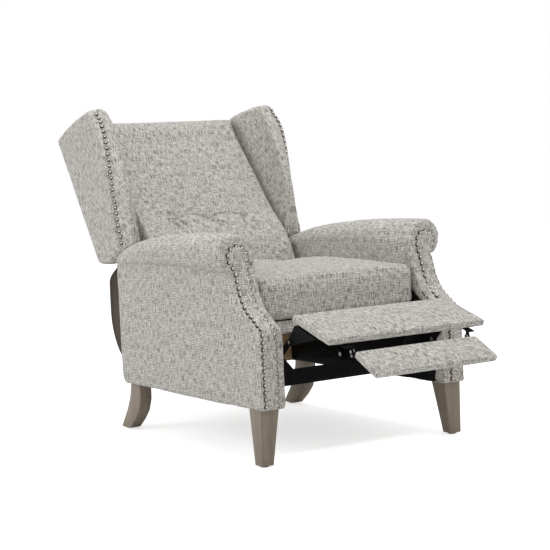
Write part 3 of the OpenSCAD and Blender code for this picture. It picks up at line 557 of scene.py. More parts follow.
def tweed_group():
    """A loose plain weave of slubby yarns that cross over and under each other, with painted shade in the
    gaps between them.
    """
    name = "Tweed weave"
    if name in bpy.data.node_groups:
        return bpy.data.node_groups[name]
    tree, given, out = new_group(name, Lean="Float", Pitch="Float", Slub="Float", Light="Color",
                                 Mid="Color", Dark="Color")
    across, along, spot = face_plane(tree, given["Lean"])
    # Yarns wander a little, so the weave isn't a ruled grid
    wander = times(tree, minus(tree, speckle(tree, spot, WARP_WANDER_SCALE), 0.5), WANDER)
    drift = times(tree, minus(tree, speckle(tree, spot, WEFT_WANDER_SCALE, 1.0), 0.5), WANDER)
    warp = calc(tree, "DIVIDE", plus(tree, across, wander), times(tree, given["Pitch"], WARP_SHARE))
    weft = calc(tree, "DIVIDE", plus(tree, along, drift), given["Pitch"])
    yarns, gaps, shades = [], [], []
    for turn, run, slub, shift in ((warp, along, 1.0, 0.0), (weft, across, 0.8, 40.0)):
        yarn = calc(tree, "FLOOR", turn)
        yarns.append(yarn)
        off_middle = calc(tree, "ABSOLUTE", minus(tree, minus(tree, turn, yarn), 0.5))
        gaps.append(spread(tree, off_middle, GAP_FROM, GAP_TO))
        stretch = calc(tree, "DIVIDE", run, times(tree, given["Slub"], slub))
        shades.append(speckle(tree, vector(tree, times(tree, yarn, 7.31), stretch, shift), 1.0, 0.0))
    # Most crossings alternate, and some float over a neighbour
    crossing = vector(tree, yarns[0], yarns[1])
    chance = put(tree, "ShaderNodeTexWhiteNoise", {"Vector": crossing}, noise_dimensions="2D").outputs
    parity = calc(tree, "MODULO", calc(tree, "ABSOLUTE", plus(tree, yarns[0], yarns[1])), 2.0)
    floats = calc(tree, "LESS_THAN", chance["Value"], FLOAT_SHARE)
    over = calc(tree, "GREATER_THAN", calc(tree, "ABSOLUTE", minus(tree, parity, floats)), 0.5)
    shade, gap = mix(tree, over, *shades), mix(tree, over, *gaps)
    heather = speckle(tree, vector(tree, calc(tree, "DIVIDE", across, given["Slub"]),
                                   calc(tree, "DIVIDE", along, given["Slub"])), 0.6, 3.0, 0.6)
    light = spread(tree, plus(tree, shade, times(tree, heather, HEATHER_SHARE)), LIGHT_FROM, LIGHT_TO)
    lit = blend(tree, light, given["Mid"], given["Light"])
    darker = [times(tree, spread(tree, shade, FLECK_FROM, FLECK_TO), FLECK_DARK)]
    # Short dark lengths of yarn run both ways
    for fine, long, shift, dark in ((DASH_FINE, DASH_LONG, 3.0, WARP_DARK),
                                    (DASH_LONG, DASH_FINE, 90.0, WEFT_DARK)):
        spot_on = vector(tree, times(tree, across, fine), times(tree, along, long), shift)
        dash = spread(tree, speckle(tree, spot_on, 1.0, 0.0), DASH_FROM, DASH_TO)
        darker.append(times(tree, dash, dark))
    # The gaps between yarns are blended towards the dark yarn as painted shade; the flecks and dashes are
    # the yarns' own colour
    for share in darker + [times(tree, gap, GAP_SHADE)]:
        lit = blend(tree, share, lit, given["Dark"])
    tree.links.new(lit, out["Color"])
    # Each yarn is round and dips under its neighbours
    fuzz = speckle(tree, spot, FUZZ_SCALE, 1.0)
    height = plus(tree, minus(tree, times(tree, fuzz, 0.5), gap), times(tree, shade, 0.6))
    tree.links.new(height, out["Height"])
    tree.links.new(spread(tree, fuzz, 0.2, 0.8, 0.82, 1.0), out["Roughness"])
    return tree


def grain_group():
    """Long grain with pores, along the axis that is stretched least."""
    name = "Wood grain"
    if name in bpy.data.node_groups:
        return bpy.data.node_groups[name]
    tree, given, out = new_group(name, Stretch="Vector", Light="Color", Dark="Color")
    where = tree.nodes.new("ShaderNodeTexCoord").outputs["Object"]
    spot = put(tree, "ShaderNodeVectorMath", {0: where, 1: given["Stretch"]},
               operation="MULTIPLY").outputs[0]
    broad = speckle(tree, spot, 1.0, 4.0, 0.6)
    fine = speckle(tree, spot, 9.0, 3.0, 0.7)
    both = plus(tree, times(tree, broad, 0.65), times(tree, fine, 0.35))
    tone = blend(tree, spread(tree, both, 0.38, 0.62), given["Dark"], given["Light"])
    tree.links.new(tone, out["Color"])
    tree.links.new(spread(tree, fine, 0.30, 0.55), out["Height"])
    tree.links.new(spread(tree, both, 0.3, 0.7, 0.52, 0.38), out["Roughness"])
    return tree


def patina_group():
    """Soft smudges and fine speckle for metal and plastic, with lighter worn edges."""
    name = "Patina"
    if name in bpy.data.node_groups:
        return bpy.data.node_groups[name]
    tree, given, out = new_group(name, Base="Color", Worn="Color", Scale="Float", Low="Float",
                                 High="Float")
    where = tree.nodes.new("ShaderNodeTexCoord").outputs["Object"]
    smudge = speckle(tree, where, given["Scale"], 3.0, 0.6)
    grit = speckle(tree, where, 900.0, 1.0)
    edge = spread(tree, tree.nodes.new("ShaderNodeNewGeometry").outputs["Pointiness"], 0.52, 0.60)
    wear = calc(tree, "ADD", times(tree, edge, 0.6), spread(tree, smudge, 0.50, 0.85, 0.0, 0.5),
                clamp=True)
    tree.links.new(blend(tree, wear, given["Base"], given["Worn"]), out["Color"])
    tree.links.new(grit, out["Height"])
    tree.links.new(spread(tree, smudge, 0.3, 0.7, given["Low"], given["High"]), out["Roughness"])
    return tree


def finish_material(name, group, values, bump, distance, **shader):
    """A material whose colour, roughness and relief come from one group."""
    if name in bpy.data.materials:
        return bpy.data.materials[name]
    material = bpy.data.materials.new(name)
    material.use_nodes = True
    tree = material.node_tree
    surface = next(n for n in tree.nodes if n.type == "BSDF_PRINCIPLED")
    source = put(tree, "ShaderNodeGroup", node_tree=group)
    for key, value in values.items():
        source.inputs[key].default_value = value
    relief = put(tree, "ShaderNodeBump", {"Height": source.outputs["Height"], "Strength": bump,
                                         "Distance": distance})
    tree.links.new(source.outputs["Color"], surface.inputs["Base Color"])
    tree.links.new(source.outputs["Roughness"], surface.inputs["Roughness"])
    tree.links.new(relief.outputs[0], surface.inputs["Normal"])
    for key, value in shader.items():
        surface.inputs[key.replace("_", " ")].default_value = value
    return material


def opaque(colour):
    return (*colour[:3], 1.0)


def tweed(lean=0.0, label="upright"):
    """The upholstery, with its weave turned to lie along a leaning piece."""
    cloth = chair().cloth
    return finish_material("Tweed " + label, tweed_group(), {
        "Lean": lean, "Pitch": cloth.yarn_pitch, "Slub": cloth.slub_length,
        "Light": opaque(cloth.light_yarn), "Mid": opaque(cloth.mid_yarn), "Dark": opaque(cloth.dark_yarn)},
        bump=0.9, distance=cloth.weave_depth, Sheen_Weight=0.12, Sheen_Roughness=0.5,
        Specular_IOR_Level=0.25)


def back_tweed():
    return tweed(chair().back.lean, "back")


def wood(label, light, dark, stretch, bump=0.25, coat=0.0):
    """A finish with grain, for wood and for the lining's threads."""
    values = {"Light": opaque(light), "Dark": opaque(dark), "Stretch": stretch}
    return finish_material(label, grain_group(), values, bump, distance=0.0004, Coat_Weight=coat,
                           Coat_Roughness=0.3)


def metal(label, base, worn, low, high, metallic=1.0, scale=60.0, specular=0.5):
    """A finish with patina, for metal and plastic, whose roughness runs from low to high."""
    values = {"Base": opaque(base), "Worn": opaque(worn), "Low": low, "High": high, "Scale": scale}
    return finish_material(label, patina_group(), values, bump=0.06, distance=0.0003,
                           Metallic=metallic, Specular_IOR_Level=specular)


def black_steel():
    return metal("Black steel", (0.0035, 0.0035, 0.0035), (0.014, 0.014, 0.014), 0.5, 0.7, metallic=0.0,
                 specular=0.06)


def zinc():
    return metal("Zinc plate", (0.42, 0.42, 0.43), (0.66, 0.66, 0.66), 0.26, 0.42)


def pewter():
    colour = chair().trim.nail_colour
    return metal("Aged pewter", colour, [min(1, c * 1.8) for c in colour], 0.22, 0.36, scale=300.0)


# Near-black painted shadow on each nail head's rim, standing for the shade where the cloth dips round the
# nail
def painted_shadow_rim():
    return metal("Tarnished rim", (0.030, 0.022, 0.014), (0.075, 0.058, 0.038), 0.5, 0.7, metallic=0.0,
                 scale=300.0, specular=0.1)


def leg_wood():
    colour = chair().trim.leg_colour
    return wood("Leg wood", [c * 1.12 for c in colour], [c * 0.8 for c in colour], (60, 60, 5), coat=0.15)


def timber():
    return wood("Plain timber", (0.62, 0.42, 0.24), (0.44, 0.28, 0.15), (40, 6, 40))


# Near-black board that stands as painted shade under the seat and in the crevice between the seat cushion
# and the arm
def painted_shade_board():
    return wood("Dark board", (0.020, 0.016, 0.012), (0.010, 0.008, 0.006), (40, 6, 40))


def lining():
    return wood("Lining cloth", (0.19, 0.16, 0.132), (0.14, 0.115, 0.094), (700, 700, 500), bump=0.3)


def glide_plastic():
    return metal("Glide plastic", (0.03, 0.03, 0.03), (0.07, 0.07, 0.07), 0.5, 0.65, metallic=0.0)


def finish_node(material, *nodes):
    """Gives solids whose shape is right their finish."""
    for node in nodes:
        for slot in frame["nodes"][node].material_slots:
            slot.link = "OBJECT"
            slot.material = material


# Angles in degrees over which an edge is eased, and over which it still looks sharp
SHARP_ANGLE, CREASE_ANGLE = 35, 32
# Widths of the eased edges
LEG_EASE, RAIL_EASE, STEEL_EASE = 0.0016, 0.0015, 0.0005


def eased(node, width, material):
    """A copy of a rigid solid with its edges eased, which stands for it."""
    source = frame["nodes"][node]
    mesh = bpy.data.meshes.new(node + "_eased")
    work = bmesh.new()
    work.from_mesh(source.data)
    bmesh.ops.remove_doubles(work, verts=work.verts, dist=0.00001)
    bmesh.ops.dissolve_limit(work, angle_limit=math.radians(0.5), verts=work.verts, edges=work.edges)
    sharp = [e for e in work.edges
             if len(e.link_faces) == 2 and e.calc_face_angle(0) > math.radians(SHARP_ANGLE)]
    bmesh.ops.bevel(work, geom=sharp, offset=width, segments=2, profile=0.5, affect="EDGES",
                    clamp_overlap=True)
    bmesh.ops.recalc_face_normals(work, faces=work.faces)
    work.to_mesh(mesh)
    work.free()
    mesh.materials.append(material)
    mesh.polygons.foreach_set("use_smooth", [True] * len(mesh.polygons))
    mesh.set_sharp_from_angle(angle=math.radians(CREASE_ANGLE))
    made = bpy.data.objects.new(node + "_eased", mesh)
    bpy.context.scene.collection.objects.link(made)
    dress(made, source.parent.name.split(":")[1], [node])


# The faces between a head's first RIM_RINGS rings form its rim, which takes the painted shadow
NAIL_SIDES, RIM_RINGS = 12, 3
# A nail head from under the cloth to its crown, as (share of the radius, share of the height)
HEAD_SHARES = ((1.06, -0.9), (1.06, 0.06), (0.98, 0.20), (0.76, 0.34), (0.62, 0.62), (0.42, 0.88),
               (0.16, 0.99))


def nail_heads(name, spots, ways, seed):
    """Domed heads of upholstery nails at points on a surface, bright on top, with a near-black painted
    shadow on the rim.
    """
    trim = chair().trim
    rng = np.random.default_rng(seed)
    turn = np.linspace(0, 2 * math.pi, NAIL_SIDES, endpoint=False)
    parts, rims = [], []
    for spot, way in zip(spots, ways):
        way = Vector(way) + Vector(rng.normal(0, 0.05, 3))
        basis = np.array(way.normalized().to_track_quat("Z", "Y").to_matrix())
        size = trim.nail_radius * rng.uniform(0.96, 1.03)
        rings = np.array([[(math.cos(a) * r * size, math.sin(a) * r * size, z * trim.nail_height)
                           for a in turn] for r, z in HEAD_SHARES])
        parts.append(loft(rings @ basis.T + np.array(spot)))
        rims += [k < RIM_RINGS * NAIL_SIDES for k in range(len(parts[-1][1]))]
    made = new_object(name, *joined(*parts), pewter())
    # A second slot holds the painted shadow for the rims
    made.data.materials.append(painted_shadow_rim())
    for face, dark in zip(made.data.polygons, rims):
        face.material_index = int(dark)
    return made


def spaced(points, pitch):
    """Points at an even pitch along a polyline, whose first three columns are places."""
    points = np.asarray(points, float)
    run = run_along(points[:, :3])
    count = max(1, int(round(run[-1] / pitch)))
    at = np.linspace(0, run[-1], count + 1)
    return np.stack([np.interp(at, run, points[:, k]) for k in range(points.shape[1])], axis=-1)


# Arms

# The slab: its faces, foot, front and rear, and how far its front sweeps back over its height
ARM_IN, ARM_OUT = 0.266, 0.339
BASE_Z = 0.156
ARM_FRONT, ARM_REAR = -0.468, 0.370
SWEEP, SIDE_HEIGHT = 0.135, 0.465
HEEL_RADIUS = 0.0204
# The front in the side view, as (share of the sweep, share of the height)
FRONT_SHARES = ((0, 0), (0, 0.2), (0, 0.43), (0.12, 0.467), (0.30, 0.505), (0.58, 0.562),
                (0.76, 0.64), (0.85, 0.71), (0.94, 0.80), (1, 0.888))
ROLL_X, ROLL_Y, ROLL_Z = 0.32218, -0.3384, 0.568
ROLL_RADIUS, ROLL_REAR_RADIUS, ROLL_CAP = 0.053, 0.0365, 0.013
# The roll's top line, as (along the arm, height)
ROLL_TOP = ((-0.345, 0.621), (-0.165, 0.621), (-0.061, 0.619), (0.079, 0.611), (0.166, 0.6025),
            (0.240, 0.593), (0.289, 0.582), (0.345, 0.570), (0.387, 0.559))
# The facing: its edges up to the neck, and the arch that ends it on the roll
FACE_IN, FACE_OUT, NECK_Z = 0.2930, 0.3290, 0.5094
ARCH_X, ARCH_RADIUS, ARCH_Z = 0.3178, 0.0292, 0.5572
FACE_EDGE, FACE_PUFF, FACE_ROOT, NAIL_LIFT = 0.0026, 0.0058, 0.008, 0.0038
# The inner face: its bare board's top, up to which the board is painted near-black as shade beside and under
# the seat; where the cloth above it lies; and the board's clearance
BOARD_TOP, ARM_LINED, BOARD_CLEAR = 0.415, 0.2632, 0.0010
# Padding: fill of the outer panel, edge over which it fades, crease under the roll, and gathers
PANEL_FILL, FILL_EDGE = 0.0035, 0.05
CREASE_DEPTH, CREASE_SWELL = 0.0042, 0.0022
GATHER_DEPTH, GATHER_REACH = 0.0019, 0.026
# Slow and fine unevenness, how much fuller the roll is outside, and the bead beside the inner edge
SLOW_UNEVEN, FINE_UNEVEN, ROLL_FULLER = 0.0009, 0.0005, 0.0015
BEAD_X, BEAD_WIDTH, BEAD_LIFT = 0.274, 0.009, 0.0025


def arm_front(steps):
    """The arm's front in the side view, from its foot to the middle of the roll."""
    points = np.array([(ARM_FRONT + a * SWEEP, BASE_Z + b * SIDE_HEIGHT) for a, b in FRONT_SHARES[:-1]]
                      + [(ROLL_Y, ROLL_Z)])
    run = run_along(points)
    at = np.linspace(0, run[-1], steps)
    return np.stack([through(run / run[-1], points[:, k], at / run[-1]) for k in (0, 1)], axis=-1)


def roll_at(y):
    """Middle and radius of the roll at a distance along the arm."""
    y = np.asarray(y, float)
    back = np.clip((y - ROLL_Y) / (ARM_REAR - ROLL_Y), 0, 1)
    radius = ROLL_RADIUS + (ROLL_REAR_RADIUS - ROLL_RADIUS) * back ** 1.5
    top = line_at(ROLL_TOP, y)
    x = ROLL_X + ((ARM_IN + ARM_OUT) / 2 - ROLL_X) * back ** 1.5
    return x, top - radius, radius


def arm_shells():
    """The slab of the arm and the roll on it, as overlapping closed shells."""
    turn = np.linspace(0, math.pi / 2, 6)
    top_y = np.linspace(ROLL_Y, ARM_REAR, 24)[1:]
    heel = np.stack([ARM_REAR - HEEL_RADIUS + HEEL_RADIUS * np.cos(turn),
                     BASE_Z + HEEL_RADIUS - HEEL_RADIUS * np.sin(turn)], -1)
    side = np.concatenate([arm_front(60), np.stack([top_y, roll_at(top_y)[1]], -1), heel])
    count = len(side)
    verts = np.concatenate([np.column_stack([np.full(count, x), side]) for x in (ARM_IN, ARM_OUT)])
    faces = [tuple(range(count)), tuple(range(2 * count - 1, count - 1, -1))]
    faces += [(k, k + count, (k + 1) % count + count, (k + 1) % count) for k in range(count)]
    rings, around = [], 40
    angle = np.linspace(0, 2 * math.pi, around, endpoint=False)
    steps = np.concatenate([ROLL_CAP * (1 - np.cos(np.linspace(0.12, math.pi / 2, 7))),
                            np.linspace(0.03, ARM_REAR - ROLL_Y - 0.001, 40)])
    for d in steps:
        x, z, radius = roll_at(ROLL_Y + d)
        radius = radius - ROLL_CAP + ROLL_CAP * rounding(d, ROLL_CAP)
        rings.append(np.column_stack([x + radius * np.cos(angle), np.full(around, ROLL_Y + d),
                                      z + radius * np.sin(angle)]))
    return joined((verts, faces), loft(np.array(rings)))


def pad_arm(obj, side, seed):
    """Fills the arm's outer panel, gathers the cloth behind the roll's front and creases under it."""
    co, way = coordinates(obj), normals(obj)
    x, y, z = co[:, 0] * side, co[:, 1], co[:, 2]
    rx, rz, radius = roll_at(y)
    angle = np.arctan2(z - rz, x - rx)
    on_roll = np.clip((np.hypot(x - rx, z - rz) / radius - 0.86) * 12, 0, 1) * (y > ROLL_Y)
    outside = np.clip((x - ARM_OUT + 0.006) * 250, 0, 1) * np.clip((rz - radius - z + 0.012) * 60, 0, 1)
    front = np.interp(z, arm_front(40)[:, 1], arm_front(40)[:, 0])
    ends = rounding(ARM_REAR - y, FILL_EDGE)
    lift = PANEL_FILL * outside * rounding(z - BASE_Z, FILL_EDGE) * rounding(y - front, FILL_EDGE) * ends
    # The crease where the roll meets the panel, and the swell below it
    crease = rz - np.sqrt(np.maximum(0, radius ** 2 - np.maximum(0, ARM_OUT - rx) ** 2))
    along = (y > ROLL_Y - 0.004) * ends * (x > rx)
    lift -= CREASE_DEPTH * hill(z - crease, 0.0042) * along
    lift += CREASE_SWELL * hill(z - crease - 0.013, 0.011) * along
    gather = hill(y - ROLL_Y - GATHER_REACH, GATHER_REACH) * on_roll
    lift += gather * GATHER_DEPTH * np.sin(angle * 17 + 1.5 * np.sin(angle * 5 + seed))
    lift += SLOW_UNEVEN * waves(co, 0.16, seed) * (outside + on_roll)
    lift += ROLL_FULLER * on_roll * (x > rx)
    lift += FINE_UNEVEN * waves(co, 0.035, seed + 3) * on_roll
    # The cloth stands out from the board above the seat and along the front
    inner = np.clip((ARM_IN + 0.004 - x) * 300, 0, 1)
    covered = np.maximum(ease((z - BOARD_TOP) / 0.02) * ease((front + 0.20 - y) / 0.05),
                         ease((front + 0.06 - y) / 0.02))
    lift += (ARM_IN - ARM_LINED) * inner * covered * rounding(ARM_REAR - y, 0.04)
    bead = hill(x - BEAD_X, BEAD_WIDTH) * np.clip(-way[:, 1] * 2, 0, 1) * ease((z - 0.33) / 0.05)
    lift += BEAD_LIFT * bead * ease((ARCH_Z - z) / 0.04)
    co = co + way * lift[:, None]
    co[:, 2] -= 0.0022 * (z < BASE_Z + 0.004)
    # The bare board keeps clear of the seat's rollers
    bare = (inner > 0.5) & (covered < 0.01)
    co[:, 0] = np.where(bare, side * np.maximum(co[:, 0] * side, ARM_IN + BOARD_CLEAR), co[:, 0])
    place(obj, co)


# How far padding stays over a rigid piece, and how far out the piece is looked for
COVER, COVER_REACH = 0.0015, 0.012


def cover_over(obj, node):
    """Lifts padding wherever the rigid piece inside it would come through."""
    inner = frame["nodes"][node]
    tree = BVHTree.FromPolygons([inner.matrix_world @ v.co for v in inner.data.vertices],
                                [tuple(f.vertices) for f in inner.data.polygons])
    co, way = coordinates(obj), normals(obj)
    for k, (spot, out) in enumerate(zip(co, way)):
        hit = tree.ray_cast(Vector(spot + out * COVER_REACH), Vector(-out), COVER_REACH + COVER)
        if hit[0] is not None:
            co[k] = spot + out * (COVER_REACH - hit[3] + COVER)
    place(obj, co)


class RECLINER_OT_arms(bpy.types.Operator):
    """Pads the two arms, with their rolls"""
    bl_idname = "recliner.arms"
    bl_label = "Arms"

    def execute(self, context):
        for name, side in SIDES.items():
            arm = new_object(name + "_arm_upholstery", *mirrored(arm_shells(), side), tweed())
            fuse(arm, voxel=0.0045, passes=7)
            pad_arm(arm, side, 2.0 + side)
            cover_over(arm, name + "_arm_frame")
            # The bare board below the seat is coloured near-black as painted shade
            self.shade_bare_board(arm, side)
            dress(arm, "base", [name + "_arm_cover"])
        return {"FINISHED"}

    def shade_bare_board(self, arm, side):
        """Leaves the inner face bare below the seat, where the cover ends on the board, and colours it
        near-black as painted shade.
        """
        arm.data.materials.append(painted_shade_board())
        for face in arm.data.polygons:
            x, y, z = face.center
            inner = face.normal.x * side < -0.8 and ARM_IN - 0.002 < x * side < ARM_IN + 0.004
            if inner and z < BOARD_TOP and ARM_FRONT + 0.03 < y < ARM_REAR - 0.01:
                face.material_index = 1


def facing_rows(z):
    """Inner and outer edges of the facing at a height."""
    flare = ease((z - NECK_Z) / (ARCH_Z - NECK_Z))
    inner = FACE_IN + (ARCH_X - ARCH_RADIUS - FACE_IN) * flare
    outer = FACE_OUT + (ARCH_X + ARCH_RADIUS - FACE_OUT) * flare
    reach = np.sqrt(np.maximum(0, ARCH_RADIUS ** 2 - np.maximum(0, z - ARCH_Z) ** 2))
    above = z > ARCH_Z
    return np.where(above, ARCH_X - reach, inner), np.where(above, ARCH_X + reach, outer)


def facing_line():
    """Points and outward directions of the arm's front in the side view, up to the arch's top."""
    front = arm_front(90)
    arch = ARCH_Z + ARCH_RADIUS * np.sin(np.linspace(0.2, math.pi / 2, 12))
    line = np.concatenate([front[front[:, 1] < arch[0] - 0.003],
                           np.column_stack([np.full(12, ROLL_Y), arch])])
    line[0, 1] += 0.001
    along = np.gradient(line, axis=0)
    along /= np.linalg.norm(along, axis=1, keepdims=True)
    return line, np.column_stack([-along[:, 1], along[:, 0]])


def facing_form():
    """The facing, which swells from its edges and has its root inside the arm."""
    line, out = facing_line()
    inner, outer = facing_rows(line[:, 1])
    s = np.sin(np.linspace(-math.pi / 2, math.pi / 2, 17))
    x = (inner + outer)[:, None] / 2 + (outer - inner)[:, None] / 2 * s
    ends = rounding(np.minimum(line[:, 1] - BASE_Z, ARCH_Z + ARCH_RADIUS - line[:, 1]) + 0.002, 0.016)
    puff = FACE_EDGE + FACE_PUFF * np.sqrt(np.maximum(0, 1 - s ** 4)) * ends[:, None]
    grids = []
    for high in (puff, np.full_like(puff, -FACE_ROOT)):
        grids.append(stack(x, line[:, :1] + out[:, :1] * high, line[:, 1:] + out[:, 1:] * high))
    return closed_form(*grids)


def nail_line():
    """Points of the nail row up the arm's front, round the arch and down, with outward directions."""
    line, out = facing_line()
    inner, outer = facing_rows(line[:, 1])
    keep = line[:, 1] > BASE_Z + 0.010
    rest = np.column_stack([line + out * NAIL_LIFT, np.zeros(len(line)), out])[keep]
    up, down = (np.column_stack([x[keep], rest]) for x in (inner, outer))
    return spaced(np.concatenate([up, down[::-1]]), chair().trim.nail_pitch)


class RECLINER_OT_facings(bpy.types.Operator):
    """Pads the panels on the fronts of the arms and nails them down"""
    bl_idname = "recliner.facings"
    bl_label = "Arm facings"

    def execute(self, context):
        for name, side in SIDES.items():
            facing = new_object(name + "_facing_panel", *mirrored(facing_form(), side), tweed())
            dress(facing, "base", [name + "_arm_facing"])
            row = nail_line() * np.array([side, 1, 1, side, 1, 1])
            nails = nail_heads(name + "_facing_nails", row[:, :3], row[:, 3:], seed=11)
            dress(nails, "base", [name + "_arm_nails"])
        return {"FINISHED"}


class RECLINER_OT_legs(bpy.types.Operator):
    """Finishes the four legs, their glides and bolts"""
    bl_idname = "recliner.legs"
    bl_label = "Legs"

    def execute(self, context):
        for node in ("front_left_leg", "front_right_leg", "rear_left_leg", "rear_right_leg"):
            eased(node, LEG_EASE, leg_wood())
        finish_node(glide_plastic(), "foot_glides")
        finish_node(zinc(), "leg_bolts")
        return {"FINISHED"}


class RECLINER_OT_base_rails(bpy.types.Operator):
    """Finishes the rails across the base and the padded cover of the rear one"""
    bl_idname = "recliner.base_rails"
    bl_label = "Base rails"

    def execute(self, context):
        eased("front_cross_rail", RAIL_EASE, black_steel())
        finish_node(timber(), "rear_rail", "left_arm_frame", "right_arm_frame")
        padded_panel("rear_rail_panel", "rear_rail_cover", "base", face=1, cell=0.008)
        return {"FINISHED"}


PANEL_CROWN, PANEL_EDGE = 0.004, 0.008


def padded_panel(name, node, body, face, cell):
    """A thin padded panel in a solid's box, full towards +Y (face 1) or -Y (face -1)."""
    low, high = (np.array(corner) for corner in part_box(node))
    size = high - low
    verts, faces = cushion_box(size, min(size[1] * 0.48, PANEL_EDGE), cell)
    u, v, w = (verts / (size / 2)).T
    full = rounding(1 - np.abs(u), 0.12) * rounding(1 - np.abs(w), 0.5)
    verts[:, 1] += face * PANEL_CROWN * full * np.clip(v * face, 0, 1)
    panel = new_object(name, verts + (low + high) / 2, faces, tweed())
    dress(panel, body, [node])


# Mechanism


class RECLINER_OT_mechanism(bpy.types.Operator):
    """Finishes the steel plates, links, brackets, pins, bolts and springs"""
    bl_idname = "recliner.mechanism"
    bl_label = "Mechanism"

    def execute(self, context):
        for side in SIDES:
            for part in ("side_plate", "back_carrier", "main_link", "footrest_bracket", "flipper_bracket"):
                eased(side + "_" + part, STEEL_EASE, black_steel())
        finish_node(zinc(), "side_plate_bolts", "base_pivot_pins", "footrest_pins", "footrest_screws",
                    "flipper_pin_caps", "flipper_screws", "carrier_bolts", "seat_rollers")
        finish_node(black_steel(), "seat_springs", "back_springs")
        return {"FINISHED"}


# Seat

SEAT_CROWN, SEAT_CORNER, SEAT_CELL = 0.018, 0.024, 0.0085
# Half the width that the cushion is sewn to, the half that the arms leave it, and room to swell
SEAT_HALF, SEAT_LIMIT, SEAT_ROOM = 0.2595, 0.2552, 0.006
# The boxing seams below the top's rim and above the foot, their depth, and the ripples beside them
TOP_SEAM, FOOT_SEAM, SEAM_DEPTH, SEAM_RIPPLE = 0.019, 0.014, 0.0016, 0.0008


def seam_groove(co, way, distance, depth, width=0.0028):
    """Presses a sewn seam into a surface at small distances from a line."""
    return co - way * (depth * hill(distance, width))[:, None]


class RECLINER_OT_seat_cushion(bpy.types.Operator):
    """Fills the seat cushion, with its boxing seams"""
    bl_idname = "recliner.seat_cushion"
    bl_label = "Seat cushion"

    def execute(self, context):
        low, high = np.array(SEAT_LOW), np.array(SEAT_HIGH)
        high[2] -= SEAT_CROWN
        low[0], high[0] = -SEAT_HALF, SEAT_HALF
        size, middle = high - low, (high + low) / 2
        verts, faces = cushion_box(size - SEAT_ROOM, SEAT_CORNER, SEAT_CELL)
        u, v, w = (verts / (size / 2)).T
        verts[:, 2] += (SEAT_CROWN - SEAT_ROOM) * ((1 - u ** 2) * (1 - v ** 2)) * np.clip(w, 0, 1)
        cushion = new_object("seat_cushion_cover", verts + middle, faces, tweed())
        bound = np.clip((-w - 0.5) * 2.2, 0, 1)
        edge = np.maximum(np.abs(u), np.abs(v))
        bound = np.maximum(bound, 0.75 * (np.abs(w) > 0.80) * (edge > 0.955) * (v > -0.9))
        swell(cushion, bound, cap=0.012)
        finer(cushion)
        co, way = coordinates(cushion), normals(cushion)
        x, y, z = (co - middle).T
        rim = np.minimum(size[0] / 2 - np.abs(x), size[1] / 2 - np.abs(y))
        for level in (size[2] / 2 - TOP_SEAM, -size[2] / 2 + FOOT_SEAM):
            co = seam_groove(co, way, np.hypot(z - level, np.maximum(0, rim - 0.006)), SEAM_DEPTH)
        ripple = np.sin(x * 60 + 2.5 * np.sin(x * 17)) * hill(rim, 0.012)
        co = co + way * (SEAM_RIPPLE * ripple + 0.0012 * waves(co, 0.11, 4.0))[:, None]
        co[:, 2] = np.maximum(co[:, 2], low[2] + 0.0004)
        co[:, 0] = np.clip(co[:, 0], -SEAT_LIMIT, SEAT_LIMIT)
        place(cushion, co)
        dress(cushion, "seat", ["seat_cushion"])
        return {"FINISHED"}


class RECLINER_OT_seat_frame(bpy.types.Operator):
    """Finishes the seat frame and pads the band on its front"""
    bl_idname = "recliner.seat_frame"
    bl_label = "Seat frame"

    def execute(self, context):
        # The seat frame is near-black as painted shade under the seat
        finish_node(painted_shade_board(), "seat_frame")
        padded_panel("seat_front_band", "seat_front_cover", "seat", face=-1, cell=0.006)
        return {"FINISHED"}


# Back

# The frame's front ahead of the rear face, how far the cushion hangs below the foot, and the back's top
FRAME_FRONT, BACK_DROP, BACK_HEIGHT = 0.0526, 0.252, 0.430
CUSHION_HEIGHT, HALF_CUSHION, SPREAD = 0.6672, 0.250, 0.007
# The cushion spreads and its edges get sharper below this height, over this height
SPREAD_TOP, SPREAD_HEIGHT = 0.34, 0.27
EDGE_RADIUS, EDGE_SHARPER, EDGE_DEPTH, TOP_SLOPE = 0.026, 0.015, 0.012, 0.0114
# Depth from the cushion's foot to its top, as shares of the depth that is set
LUMBAR_SHARES = (1.03, 1.13, 1.2, 1.13, 1, 0.935, 0.915, 0.915, 0.915, 0.92, 0.92)
TUFTS, TUFT_HEIGHT = (-0.134, -0.005, 0.138), -0.003
# Folds that run from a tuft, as (across, up) from it: one list a tuft, longest folds first
PLEATS = (
    (((-0.012, 0.002), (-0.002, -0.013), (0.004, -0.029), (0.010, -0.050), (0.013, -0.072)),
     ((0.022, -0.010), (0.032, -0.034), (0.037, -0.054))),
    (((-0.019, 0.005), (0.0, -0.010), (0.014, -0.031), (0.019, -0.050), (0.022, -0.066)),
     ((0.022, -0.025), (0.047, -0.039), (0.050, -0.066))),
    (((0.006, -0.030), (0.014, -0.060), (0.010, -0.090)),
     ((-0.024, -0.020), (-0.030, -0.050), (-0.026, -0.074))))
PLEAT_DEPTH, PLEAT_SWELL, PLEAT_WIDTH = 0.0090, 0.0015, 0.0036
# The stitched pulls that join the tufts: depth, what is added at their ends, and the hollow beside them
PULL_DEPTH, PULL_DEEPER, PULL_HOLLOW = 0.0040, 0.0035, 0.0030
# Their lines, as (across, up) from the middle
PULLS = (((-0.132, -0.002), (-0.108, 0.004), (-0.079, 0.009), (-0.056, 0.009), (-0.024, 0.002)),
         ((-0.005, -0.002), (0.030, 0.004), (0.070, 0.007), (0.105, 0.003), (0.138, -0.003)))


